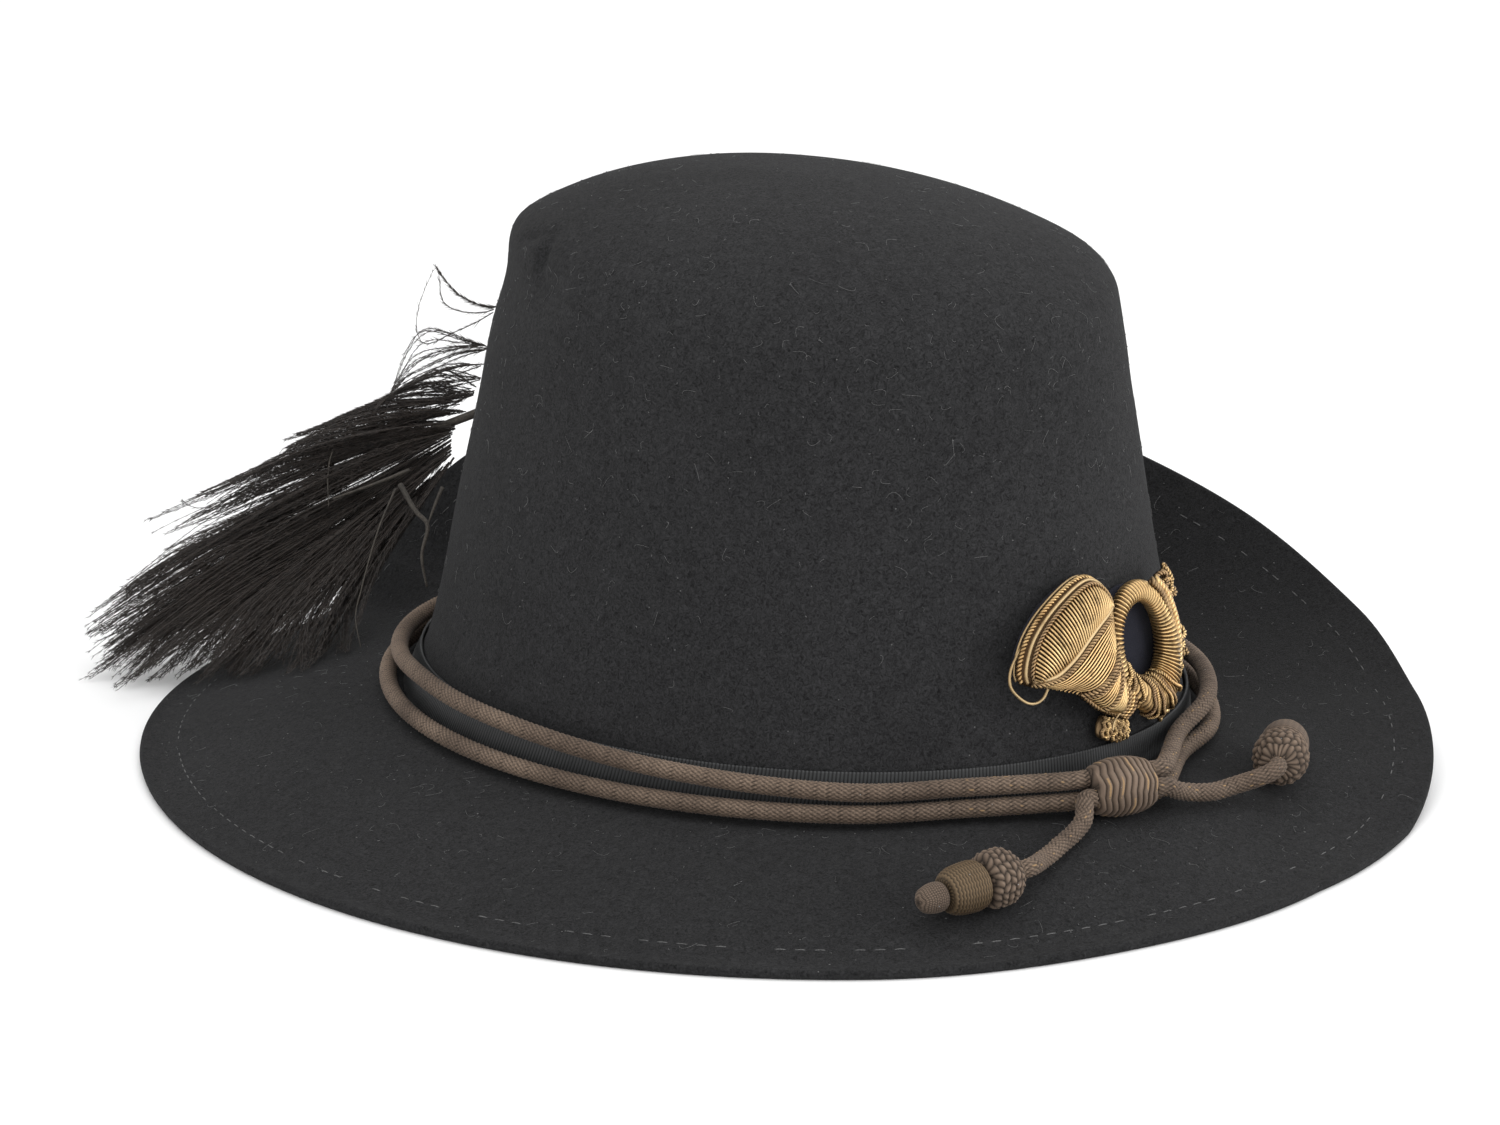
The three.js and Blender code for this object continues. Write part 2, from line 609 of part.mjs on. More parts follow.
// The horn's coiled tube, thin at its top and thick below.
function hornCoil() {
  const sides = 8;
  const steps = 32;
  const middle = { across: 0.024 * badgeWidth, high: -0.0375 * badgeHeight };
  const half = { across: 0.161 * badgeWidth, high: 0.3025 * badgeHeight };
  const sections = Array.from({ length: steps }, (_, i) => {
    const angle = (360 * i) / steps;
    const thick = coilThickness * valueAt(coilSections, 'angle', 'half', angle);
    const deep = Math.min(thick, coilThickness * 0.5);
    const [cos, sin] = [Math.cos(radians(angle)), Math.sin(radians(angle))];
    return Array.from({ length: sides }, (__, s) => {
      const spin = (2 * Math.PI * s) / sides;
      const away = thick * Math.cos(spin);
      const across = middle.across + (half.across + away) * cos;
      const high = middle.high + (half.high + away) * sin;
      return badgePoint(across, high, hornBottom + deep + deep * Math.sin(spin));
    });
  });
  return skinLoop(sections);
}

// A tube whose thickness changes, closed with a point at each end: spots hold a place and a radius,
// and settle moves each point of the skin to where it can lie.
function taperedTube(spots, sides, settle = (place) => place.clone()) {
  const rings = spots.map(({ place, radius }, i) => {
    const before = spots[Math.max(i - 1, 0)].place;
    const after = spots[Math.min(i + 1, spots.length - 1)].place;
    const along = after.clone().sub(before).normalize();
    const across = along.clone().cross(Math.abs(along.z) > 0.9 ? vector(0, 1, 0) : up).normalize();
    const over = across.clone().cross(along);
    return Array.from({ length: sides }, (_, s) => {
      const angle = (2 * Math.PI * s) / sides;
      const spoke = across.clone().multiplyScalar(Math.cos(angle)).addScaledVector(over, Math.sin(angle));
      return settle(place.clone().addScaledVector(spoke, radius));
    });
  });
  return skinBetweenPoles(settle(spots[0].place), rings, settle(spots.at(-1).place));
}

// The knotted cord sewn down the badge's outer side.
function sideCord() {
  const spots = sideCordSections.map(({ across, high, thick }) => {
    const radius = (sideCordDiameter / 2) * thick;
    return { place: badgePoint(across * badgeWidth, high * badgeHeight, hornBottom + radius), radius };
  });
  return taperedTube(spots, 8);
}

// The quill's curve, from its seat against the crown to its tip.
function quillCurve() {
  const seatHeight = plumeRise * quillRoot.rise;
  const seat = besideCrown(quillRoot.turn, seatHeight, gap + quillDiameter * 0.55);
  const rest = quillSections.map(({ turn, reach, rise }) => {
    const { point, outward } = foot(turn);
    return point.addScaledVector(outward, plumeReach * reach).setZ(plumeRise * rise);
  });
  return new THREE.CatmullRomCurve3([seat, ...rest], false, 'centripetal');
}

// A place on the plume, moved where needed to lie clear above the brim and outside the crown.
function clearOfFelt(place) {
  const clearance = 1.8 * feltThickness;
  const passes = 4; // steps that find the foot of the place
  const plan = place.clone().setZ(0);
  const onFoot = plan.clone();
  let turn = 0;
  let out = 0;
  for (let pass = 0; pass < passes; pass += 1) {
    turn = THREE.MathUtils.radToDeg(Math.atan2(onFoot.x / halfWidth, -onFoot.y / halfLength));
    const { point, outward } = foot(turn);
    out = plan.clone().sub(point).dot(outward);
    onFoot.copy(plan).addScaledVector(outward, -out);
  }
  const share = out / brimCurve(turn).getPoint(1).x;
  if (share < 0 || share > 1.03) return place.clone();
  const lowest = brimPoint(turn, Math.min(share, 1)).z + clearance;
  return place.clone().setZ(Math.max(place.z, lowest));
}

// One lock: a soft blade that leaves the place where the barbs gather and bends through its places.
function lockShape({ places, thick }) {
  const steps = 4;
  const [turn, tilt] = [radians(plumePlane.turn), radians(plumePlane.tilt)];
  const left = vector(-Math.cos(turn), Math.sin(turn), 0);
  const nearer = vector(-Math.sin(turn) * Math.cos(tilt), -Math.cos(turn) * Math.cos(tilt), Math.sin(tilt));
  const down = nearer.clone().cross(left);
  const { point, outward } = foot(plumeGather.turn);
  const root = point.addScaledVector(outward, plumeReach * plumeGather.reach).setZ(plumeRise * plumeGather.rise);
  const along = places.map(([across, drop, toward]) =>
    root.clone().addScaledVector(left, plumeLength * across).addScaledVector(down, plumeLength * drop)
      .addScaledVector(nearer, plumeLength * toward),
  );
  const curve = new THREE.CatmullRomCurve3([root, ...along], false, 'centripetal');
  const spots = Array.from({ length: steps + 1 }, (_, i) => {
    const share = i / steps;
    return {
      place: curve.getPointAt(share),
      radius: plumeThickness * thick * Math.sin(Math.PI * (0.15 + 0.77 * share)),
    };
  });
  return taperedTube(spots, 5, clearOfFelt);
}

// A closed geometry as a solid that can be joined.
function toManifold(wasm, geometry) {
  const plain = geometry.clone();
  plain.deleteAttribute('normal');
  plain.deleteAttribute('uv');
  const merged = mergeVertices(plain, 1e-4);
  const vertProperties = merged.attributes.position.array;
  const triVerts = Uint32Array.from(merged.index.array);
  return new wasm.Manifold(new wasm.Mesh({ numProp: 3, vertProperties, triVerts }));
}

// The plume: its quill and its locks fused into one body.
function plume(wasm) {
  const curve = quillCurve();
  const steps = 6;
  const spots = Array.from({ length: steps + 1 }, (_, i) => {
    const share = i / steps;
    return { place: curve.getPointAt(share), radius: (quillDiameter / 2) * (1 - 0.5 * share) };
  });
  let body = toManifold(wasm, taperedTube(spots, 6, clearOfFelt));
  for (const lock of plumeLocks) body = body.add(toManifold(wasm, lockShape(lock)));
  const mesh = body.getMesh();
  return skin(Array.from(mesh.vertProperties), Array.from(mesh.triVerts));
}

// The hidden hook that holds the looped brim to the crown: one plain pin across the space.
function brimHook() {
  const share = 0.94;
  const brim = brimPoint(hookTurn, share);
  const wall = besideCrown(hookTurn, brim.z, 0);
  const across = brim.clone().sub(wall);
  const along = across.clone().normalize();
  const length = across.length() - 2 * gap - 0.5 * hookDiameter;
  const geometry = new THREE.CylinderGeometry(hookDiameter / 2, hookDiameter / 2, length, 12);
  geometry.applyQuaternion(new THREE.Quaternion().setFromUnitVectors(vector(0, 1, 0), along));
  return geometry.translate(...wall.addScaledVector(along, across.length() / 2));
}

const wasm = await Module();
wasm.setup();

const hat = new THREE.Group();
hat.add(
  solid('felt_body', feltBody(), materials.felt),
  solid('hat_band', hatBand(), materials.ribbon),
  solid('cord_lower', strand(false), materials.cord),
  solid('cord_upper', strand(true), materials.cord),
  solid('slide_knot', slideKnot(), materials.cord),
);

const cordEnds = [
  { side: 'near', points: nearTail, aim: nearAcornAim },
  { side: 'far', points: farTail, aim: farAcornAim },
];
for (const { side, points, aim } of cordEnds) {
  hat.add(solid(`tail_${side}`, tube(points, cordDiameter, tailSteps, 8), materials.cord));
  for (const [piece, sections] of Object.entries(acornSections)) {
    hat.add(solid(`acorn_${piece}_${side}`, acornPiece(sections, points, aim), materials.cord));
  }
}

hat.add(
  solid('badge_backing', badgePad(backingOutline, 0, backingThickness, flatLayers, 42), materials.velvet),
  solid('horn_bell', badgePad(bellOutline, hornBottom, bellDepth, paddedLayers, 40), materials.bullion),
  solid('horn_coil', hornCoil(), materials.bullion),
  solid('horn_tassel', badgePad(tasselOutline, gap, tasselDepth, paddedLayers, 18), materials.bullion),
  solid('horn_side_cord', sideCord(), materials.bullion),
  solid('plume', plume(wasm), materials.feather),
  solid('brim_hook', brimHook(), materials.wire),
);

// The origin: under the middle of the hat without its free cord ends, on the resting surface.
const freeEnds = /^(tail|acorn)_/;
const bounds = new THREE.Box3();
for (const piece of hat.children) {
  if (!freeEnds.test(piece.name)) bounds.expandByObject(piece, true);
}
const middle = bounds.getCenter(vector(0, 0, 0));
hat.position.set(-middle.x, -middle.y, -floorLevel);

export default hat;
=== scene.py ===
# %% [markdown]
# # A felt dress hat with cord, bullion badge and plume
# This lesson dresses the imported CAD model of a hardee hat. The frame gives every piece its place, and
# each cell below swaps a plain solid for a finely made mesh with its own finish.
# Lengths are millimetres from the middle of the crown's foot, with the front towards -Y and the
# wearer's left towards +X, and one function turns them into the frame's metres at the end.

import bpy
import numpy as np
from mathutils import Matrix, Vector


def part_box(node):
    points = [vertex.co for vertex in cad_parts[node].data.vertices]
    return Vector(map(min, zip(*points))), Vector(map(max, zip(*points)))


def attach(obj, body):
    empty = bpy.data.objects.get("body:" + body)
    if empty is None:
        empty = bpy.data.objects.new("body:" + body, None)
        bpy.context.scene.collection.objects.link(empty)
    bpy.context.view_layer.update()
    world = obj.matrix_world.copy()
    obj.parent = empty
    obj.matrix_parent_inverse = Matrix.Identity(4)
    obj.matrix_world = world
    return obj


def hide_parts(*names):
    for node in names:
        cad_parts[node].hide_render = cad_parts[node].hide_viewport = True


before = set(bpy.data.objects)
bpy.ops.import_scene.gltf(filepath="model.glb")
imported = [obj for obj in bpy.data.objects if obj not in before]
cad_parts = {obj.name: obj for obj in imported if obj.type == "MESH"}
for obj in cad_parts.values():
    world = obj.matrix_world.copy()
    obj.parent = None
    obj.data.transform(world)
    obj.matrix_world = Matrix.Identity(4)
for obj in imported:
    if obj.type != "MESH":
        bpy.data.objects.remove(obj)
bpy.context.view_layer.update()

MM = 0.001
random = np.random.default_rng(1858)
print("nodes:", ", ".join(sorted(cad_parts)))

# %% [markdown]
# The hat's form comes from a few sizes and short tables. A table holds the sections of a form as
# shares of a named size, and a smooth curve runs through each column without overshooting, so a
# section can be changed by hand and the skin follows.

# %% Tables and smooth curves
def table(columns, *rows):
    """A table with named columns: each column is an array."""
    return {name: np.array(column, float) for name, column in zip(columns.split(), zip(*rows))}


def smooth_curve(rows, key, column):
    """A smooth value through a table's rows, with no overshoot between them."""
    x, y = rows[key], rows[column]
    slopes = np.diff(y) / np.diff(x)
    before, after = slopes[:-1], slopes[1:]
    same_way = before * after > 0
    inner = np.where(same_way, 2 * before * after / np.where(same_way, before + after, 1), 0)
    tangents = np.concatenate([slopes[:1], inner, slopes[-1:]])

    def value(place):
        """The curve's value at a place, held level past both ends."""
        place = np.clip(place, x[0], x[-1])
        row = np.clip(np.searchsorted(x, place, side="right") - 1, 0, len(x) - 2)
        span = x[row + 1] - x[row]
        t = (place - x[row]) / span
        start = (2 * t**3 - 3 * t**2 + 1) * y[row] + (t**3 - 2 * t**2 + t) * span * tangents[row]
        end = (3 * t**2 - 2 * t**3) * y[row + 1] + (t**3 - t**2) * span * tangents[row + 1]
        return start + end

    return value


def unit(vectors):
    """Vectors scaled to length one."""
    return vectors / np.maximum(np.linalg.norm(vectors, axis=-1, keepdims=True), 1e-12)


# %% [markdown]
# The sizes repeat the CAD source's own, so that the fine skins lie on the same forms. A turn is in
# degrees from the front towards the wearer's left. Up and size are shares of the crown's height and
# of its foot. Reach and lift are shares of the brim's width, and drop is a share of its drop.

# %% Sizes of the hat, as in the CAD source
head_length, head_width = 204.0, 171.4
half_length, half_width = head_length / 2, head_width / 2
crown_height, crown_nod = 132.0, 4.0
felt_thickness, brim_width, brim_drop, dent_depth = 2.4, 66.0, 12.4, 3.0
floor_level = -(brim_drop + felt_thickness)
gap, cad_sides = 0.3, 56
# The CAD's rings are polygons, so what lies round them keeps a wider gap.
round_gap = gap + half_length * (1 - np.cos(np.pi / cad_sides))
band_height, band_thickness, band_lift = 10.5, 0.8, 0.9
cord_diameter = 4.5

crown_sections = table(
    "up size forward",
    (0.0, 1.0, 0.0), (0.05, 0.984, 0.015), (0.1, 0.962, 0.025), (0.2, 0.929, 0.028),
    (0.35, 0.889, 0.03), (0.5, 0.849, 0.036), (0.65, 0.811, 0.042), (0.75, 0.79, 0.046),
    (0.82, 0.77, 0.044), (0.875, 0.715, 0.036), (0.92, 0.61, 0.025), (0.955, 0.475, 0.01),
    (0.982, 0.3, 0.0), (1.0, 0.0, 0.0),
)
brim_sections = table(
    "turn reach drop lift lean",
    (0, 0.826, 1.09, 0.0, -15), (12, 0.845, 1.09, 0.0, -13), (30, 0.892, 0.6, 0.0, -7),
    (45, 0.927, 0.14, 0.0, 4), (60, 0.958, 0.0, 0.118, 18), (75, 0.947, 0.0, 0.303, 36),
    (90, 0.85, 0.0, 0.5, 58), (102, 0.6, 0.0, 0.66, 78), (114, 0.22, 0.0, 0.76, 98),
    (126, -0.06, 0.0, 0.79, 110), (138, 0.2, 0.0, 0.76, 98), (150, 0.5, 0.0, 0.68, 78),
    (160, 0.7, 0.0, 0.52, 54), (166, 0.81, 0.0, 0.36, 34), (172, 0.917, 0.0, 0.08, 6),
    (178, 0.962, 0.9, 0.0, -12), (185, 0.968, 1.09, 0.0, -14), (225, 0.998, 1.09, 0.0, -15),
    (270, 1.032, 1.09, 0.0, -15), (315, 0.98, 1.09, 0.0, -15), (340, 0.871, 1.09, 0.0, -15),
    (360, 0.826, 1.09, 0.0, -15),
)
crown_dents = table(
    "turn up across_turn across_up push",
    (226, 0.79, 20, 0.07, 1.0), (214, 0.89, 22, 0.05, -0.8),
    (300, 0.86, 34, 0.05, 0.35), (45, 0.87, 22, 0.05, -0.5),
)
crown_size = smooth_curve(crown_sections, "up", "size")
crown_forward = smooth_curve(crown_sections, "up", "forward")
brim_reach, brim_fall, brim_lift, brim_lean = (
    smooth_curve(brim_sections, "turn", column) for column in ("reach", "drop", "lift", "lean")
)
print("crown", head_length, "by", head_width, "by", crown_height, "mm, brim", brim_width, "mm wide")

# %% [markdown]
# A place on the felt is a turn and a share: up the crown, or out over the brim. Every later piece can
# ask where the felt is and lie on it. The crown is a stack of ellipses with a few soft dents, and the
# brim is a row of cubic curves that leave the crown's foot flat and end as their section says.

# %% Points of the crown and the brim
def turn_apart(a, b):
    """Degrees between two turns round the hat."""
    return np.abs((a - b + 180) % 360 - 180)


def foot(turn):
    """Points of the crown's foot and the directions straight out from them."""
    angle = np.radians(turn)
    sine, cosine, none = np.sin(angle), -np.cos(angle), np.zeros_like(angle)
    point = np.stack([half_width * sine, half_length * cosine, none], -1)
    return point, unit(np.stack([sine / half_width, cosine / half_length, none], -1))


def crown_point(turn, share, depth=0.0):
    """Points of the crown at turns and shares of its height, some depth under the surface."""
    turn, share = np.broadcast_arrays(np.asarray(turn, float), np.asarray(share, float))
    angle, size, step = np.radians(turn), crown_size(share), 0.004
    low, high = np.maximum(share - step, 0), np.minimum(share + step, 1)
    shrink = crown_size(low) - crown_size(high)
    lean = np.arctan2(shrink * 0.5 * (half_length + half_width), (high - low) * crown_height)
    inward = depth * np.cos(lean)
    for place, up, across_turn, across_up, push in zip(*crown_dents.values()):
        across, along = turn_apart(turn, place) / across_turn, (share - up) / across_up
        inward = inward + dent_depth * push * np.exp(-across**2 - along**2) * np.minimum(size * 3, 1)
    wide = np.maximum(half_width * size - inward, 0)
    back = -np.maximum(half_length * size - inward, 0) * np.cos(angle)
    back = back - half_length * crown_forward(share)
    tilt = crown_nod * share**2 * back / half_length
    height = crown_height * share - depth * np.sin(lean) + tilt
    return np.stack([wide * np.sin(angle), back, height], -1)


def brim_point(turn, share, depth=0.0):
    """Points of the brim's upper side at turns and shares of the way out, some depth under it."""
    turn, share = np.broadcast_arrays(np.asarray(turn, float), np.asarray(share, float))
    place = turn % 360
    reach = brim_width * brim_reach(place)
    rise = brim_width * brim_lift(place) - brim_drop * brim_fall(place)
    lean = np.radians(brim_lean(place))
    root, edge = 0.34 * brim_width, 0.36 * brim_width
    out = [0, root, reach - edge * np.cos(lean), reach]
    high = [0, -0.05 * root, rise - edge * np.sin(lean), rise]
    s, r = share, 1 - share
    weights = [r**3, 3 * r**2 * s, 3 * r * s**2, s**3]
    slopes = [-3 * r**2, 3 * r**2 - 6 * r * s, 6 * r * s - 3 * s**2, 3 * s**2]
    x, y = (sum(w * c for w, c in zip(weights, line)) for line in (out, high))
    dx, dy = (sum(w * c for w, c in zip(slopes, line)) for line in (out, high))
    length = np.hypot(dx, dy)
    point, outward = foot(turn)
    point = point + outward * (x + depth * dy / length)[..., None]
    point[..., 2] = np.maximum(y - depth * dx / length, floor_level + felt_thickness - depth)
    return point


def beside_crown(turn, height, out):
    """Points at a height above the crown's foot, moved straight out from the crown."""
    surface = crown_point(turn, np.clip(height / crown_height, 0, 1)) + foot(turn)[1] * out
    surface[..., 2] = height
    return surface


band_low, band_high = (np.array(corner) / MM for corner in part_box("hat_band"))
band_front = beside_crown(np.array(0.0), np.array(band_lift), round_gap + band_thickness)[1]
shift = np.array([(band_low[0] + band_high[0]) / 2, band_low[1] - band_front, -floor_level])
print("the crown's foot stands at", shift.round(2), "mm in the frame")

# %% [markdown]
# The camera stands where the photograph was taken from: to the wearer's front right and a little
# above the brim. A camera can be aimed with a constraint, but here its place and turn are worked out
# from an angle, a height and a distance, so that nothing in the scene has to be evaluated first.

# %% Camera
from mathutils import Matrix, Vector

view_turn, view_height, view_distance = np.radians(-50.0), np.radians(16.15), 1300.0
aim_right, aim_up, pixels_per_mm = -10.36, 33.25, 4.06
photo_width, sensor_width = 1500, 36.0

to_camera = np.array([
    np.sin(view_turn) * np.cos(view_height), -np.cos(view_turn) * np.cos(view_height), np.sin(view_height)
])
to_right = np.array([np.cos(view_turn), np.sin(view_turn), 0.0])
to_top = np.cross(to_camera, to_right)
camera_place = shift + to_right * aim_right + to_top * aim_up + to_camera * view_distance
camera_data = bpy.data.cameras.new("camera")
camera_data.sensor_width = sensor_width
camera_data.lens = sensor_width * pixels_per_mm * view_distance / photo_width
camera_data.clip_end = 20
camera = bpy.data.objects.new("camera", camera_data)
axes = Matrix(np.stack([to_right, to_top, to_camera], 1).tolist()).to_4x4()
camera.matrix_world = Matrix.Translation(Vector(camera_place * MM)) @ axes
bpy.context.scene.collection.objects.link(camera)
bpy.context.scene.camera = camera
print("lens", round(camera_data.lens, 1), "mm")

# %% [markdown]
# Every piece below is a skin of rings: tubes, turned forms and sheets are all rows of points that
# are joined into faces. Numpy makes the points of a whole piece at once, which is much faster than
# adding vertices one by one, and the mesh takes them in one call.

# %% Meshes from rings of points
def grid_faces(rings, sides, wrap_rings=False):
    """Quads between rings of points that each go all the way round."""
    ring = np.arange(rings if wrap_rings else rings - 1)[:, None]
    side = np.arange(sides)[None, :]
    after, beside = (ring + 1) % rings, (side + 1) % sides
    corners = [ring * sides + side, ring * sides + beside, after * sides + beside, after * sides + side]
    return np.stack(corners, -1).reshape(-1, 4)


def signed_volume(points, quads):
    """Six times the volume inside some quads, or less than 0 where they face inwards."""
    a, b, c, d = (points[quads[:, i]] for i in range(4))
    return np.einsum("ij,ij->i", a, np.cross(b, c) + np.cross(c, d)).sum()


def piece(name, points, quads, caps, material, slot, nodes=(), marks=None):
    """A piece that rides on the hat: quads and end caps over points, turned to face out."""
    points = np.asarray(points, float).reshape(-1, 3)
    quads = np.asarray(quads)
    caps = np.asarray(caps, int) if len(caps) else np.zeros((0, 3), int)
    if signed_volume(points, quads) < 0:
        quads, caps = quads[:, ::-1], caps[:, ::-1]
    mesh = bpy.data.meshes.new(name)
    mesh.vertices.add(len(points))
    mesh.vertices.foreach_set("co", ((points + shift) * MM).ravel())
    mesh.loops.add(quads.size + caps.size)
    mesh.loops.foreach_set("vertex_index", np.concatenate([quads.ravel(), caps.ravel()]).astype(np.int32))
    mesh.polygons.add(len(quads) + len(caps))
    cap_starts = quads.size + np.arange(len(caps)) * caps.shape[1]
    starts = np.concatenate([np.arange(len(quads)) * 4, cap_starts])
    mesh.polygons.foreach_set("loop_start", starts.astype(np.int32))
    mesh.update(calc_edges=True)
    mesh.validate()
    mesh.shade_smooth()
    for mark, values in (marks or {}).items():
        layer = mesh.attributes.new(mark, "FLOAT", "POINT")
        layer.data.foreach_set("value", np.ravel(values).astype(np.float32))
    made = bpy.data.objects.new(name, mesh)
    made.data.materials.append(material)
    bpy.context.scene.collection.objects.link(made)
    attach(made, "root")
    if nodes:
        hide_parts(*nodes)
    print(name, "has", len(quads) * 2 + len(caps) * (caps.shape[1] - 2), "triangles")
    return made


def tube_points(paths, radius, sides, ahead=(0.0, 0.0, 1.0)):
    """Rings round many paths at once: paths are (tube, ring, 3), and radius may change over them."""
    along = unit(np.gradient(paths, axis=1))
    side = unit(np.cross(along, np.asarray(ahead, float)))
    over = np.cross(side, along)
    spin = 2 * np.pi * np.arange(sides) / sides
    spokes = side[..., None, :] * np.cos(spin)[:, None] + over[..., None, :] * np.sin(spin)[:, None]
    radius = np.broadcast_to(np.asarray(radius, float)[..., None, None], spokes.shape[:3] + (1,))
    return paths[..., None, :] + spokes * radius


def tube_faces(tubes, rings, sides):
    """Quads and end caps for many tubes of the same size."""
    start = (np.arange(tubes) * rings * sides)[:, None, None]
    quads = (grid_faces(rings, sides)[None] + start).reshape(-1, 4)
    first = np.arange(sides)[::-1]
    last = np.arange(sides) + (rings - 1) * sides
    caps = (np.stack([first, last])[None] + start).reshape(-1, sides)
    return quads, caps


def tubes(name, paths, radius, sides, material, slot, nodes=(), ahead=(0.0, 0.0, 1.0)):
    """A piece made of tubes round many paths at once."""
    skin = tube_points(paths, radius, sides, ahead)
    return piece(name, skin, *tube_faces(*paths.shape[:2], sides), material, slot, nodes)


print("a tube of 3 rings of 4 points has", len(tube_faces(1, 3, 4)[0]), "quads and 2 caps")

# %% [markdown]
# The finishes share three effects, so each is a node group that is built once: soft patches of fading,
# fine fibres, and lint that sits on the surface. A group gives out only masks and heights, and the
# shader itself stays in each material.

# %% Node groups for shared effects
def new_group(name, inputs, outputs):
    """A node group of plain numbers: its inputs have first values, its outputs only names."""
    group = bpy.data.node_groups.new(name, "ShaderNodeTree")
    for label, value in inputs.items():
        socket = group.interface.new_socket(label, in_out="INPUT", socket_type="NodeSocketFloat")
        socket.default_value = value
    for label in outputs:
        group.interface.new_socket(label, in_out="OUTPUT", socket_type="NodeSocketFloat")
    return group, group.nodes.new("NodeGroupInput").outputs, group.nodes.new("NodeGroupOutput").inputs


def wired(tree, kind, settings=None, **links):
    """The outputs of a new node, with values or other outputs on its named or numbered inputs."""
    node = tree.nodes.new("ShaderNode" + kind)
    for label, value in (settings or {}).items():
        setattr(node, label, value)
    for label, value in links.items():
        numbered = label[1:].isdigit()
        socket = node.inputs[int(label[1:]) if numbered else label.replace("_", " ")]
        if isinstance(value, bpy.types.NodeSocket):
            tree.links.new(value, socket)
        else:
            socket.default_value = value
    return node.outputs


def computed(tree, operation, *values):
    """The result of a sum on numbers."""
    return wired(tree, "Math", {"operation": operation}, **{f"_{i}": v for i, v in enumerate(values)})[0]


def patch_group():
    """Soft patches where a cloth has faded: a mask from 0 to 1."""
    inputs = {"Patches per metre": 30.0, "Contrast": 1.0}
    group, (scale, contrast, _), result = new_group("faded_patches", inputs, ["Mask"])
    place = wired(group, "TexCoord")["Object"]
    noise = wired(group, "TexNoise", Vector=place, Scale=scale, Detail=5.0, Roughness=0.6)[0]
    stretched = computed(group, "MULTIPLY_ADD", computed(group, "SUBTRACT", noise, 0.5), contrast, 0.5)
    group.links.new(wired(group, "Clamp", Value=stretched)[0], result[0])
    return group


def fibre_group():
    """Fine fibres that lie every way: a height, a mask of those that stand up, and a grain."""
    inputs, outputs = {"Fibres per metre": 2500.0}, ["Height", "Mask", "Grain"]
    group, (scale, _), result = new_group("fine_fibres", inputs, outputs)
    place = wired(group, "TexCoord")["Object"]
    bend = wired(group, "TexNoise", Vector=place, Scale=600.0, Detail=1.0)["Color"]
    bent = wired(group, "VectorMath", {"operation": "SCALE"}, _0=bend, Scale=0.004)[0]
    moved = wired(group, "VectorMath", {"operation": "ADD"}, _0=place, _1=bent)[0]
    fine = wired(group, "TexNoise", Vector=moved, Scale=scale, Detail=4.0, Roughness=0.7)[0]
    ridged = computed(group, "PINGPONG", fine, 0.5)
    mask = wired(group, "MapRange", Value=ridged, From_Min=0.42, From_Max=0.5)[0]
    grain = wired(group, "MapRange", Value=fine, From_Min=0.32, From_Max=0.68)[0]
    for made, socket in zip((fine, mask, grain), result):
        group.links.new(made, socket)
    return group


def lint_group():
    """Specks of lint and dust: a mask that is 1 on a speck."""
    inputs = {"Cells per metre": 400.0, "Share of cells": 0.1, "Speck size": 0.1}
    group, (scale, chosen_share, size, _), result = new_group("lint_specks", inputs, ["Mask"])
    place = wired(group, "TexCoord")["Object"]
    cells = wired(group, "TexVoronoi", Vector=place, Scale=scale)
    lot = wired(group, "SeparateColor", Color=cells["Color"])[0]
    chosen = computed(group, "LESS_THAN", lot, chosen_share)
    near = computed(group, "LESS_THAN", cells["Distance"], size)
    group.links.new(computed(group, "MULTIPLY", chosen, near), result[0])
    return group


patches, fibres, lint = patch_group(), fibre_group(), lint_group()
print("groups:", patches.name, fibres.name, lint.name)

# %% [markdown]
# Black wool felt isn't flat black: it has faded in wide patches and a fine mottle, its fibres catch
# the light, and pale lint clings to it. The colour is mixed from the three groups, and a little sheen
# stands for the fibres that stand up along the outline.

# %% Materials from the groups
wide_fading, fine_mottle = (22.0, 1.7), (320.0, 2.6)
lint_cells, lint_size = 420.0, 0.07


def new_material(name, roughness, **constants):
    """A material with its shader: constants go on the shader's own sockets."""
    material = bpy.data.materials.new(name)
    material.use_nodes = True
    tree = material.node_tree
    shader = tree.nodes["Principled BSDF"].inputs
    shader["Roughness"].default_value = roughness
    for label, value in constants.items():
        shader[label.replace("_", " ")].default_value = value
    return material, tree, shader


def grouped(tree, group, *values):
    """The outputs of a group that is placed in a material, with its own values."""
    node = tree.nodes.new("ShaderNodeGroup")
    node.node_tree = group
    for socket, value in zip(node.inputs, values):
        socket.default_value = value
    return node.outputs


def marked(tree, mark):
    """A value that the points of a piece carry under this name."""
    return wired(tree, "Attribute", {"attribute_name": mark})["Fac"]


def mixed(tree, factor, first, second, blend="MIX"):
    """Two colours mixed by a mask, or blended another way."""
    return wired(tree, "Mix", {"data_type": "RGBA", "blend_type": blend}, _0=factor, _6=first, _7=second)[2]


def grey(level, tint=(1.0, 1.0, 1.0)):
    """A grey, tinted a little, as a colour with full cover."""
    return tuple(level * part for part in tint) + (1.0,)


def finished(tree, shader, colour, height, strength, distance):
    """Gives the shader its colour, and its normal from a height through a bump."""
    bump = wired(tree, "Bump", Height=height, Strength=strength, Distance=distance)
    tree.links.new(colour, shader["Base Color"])
    tree.links.new(bump[0], shader["Normal"])


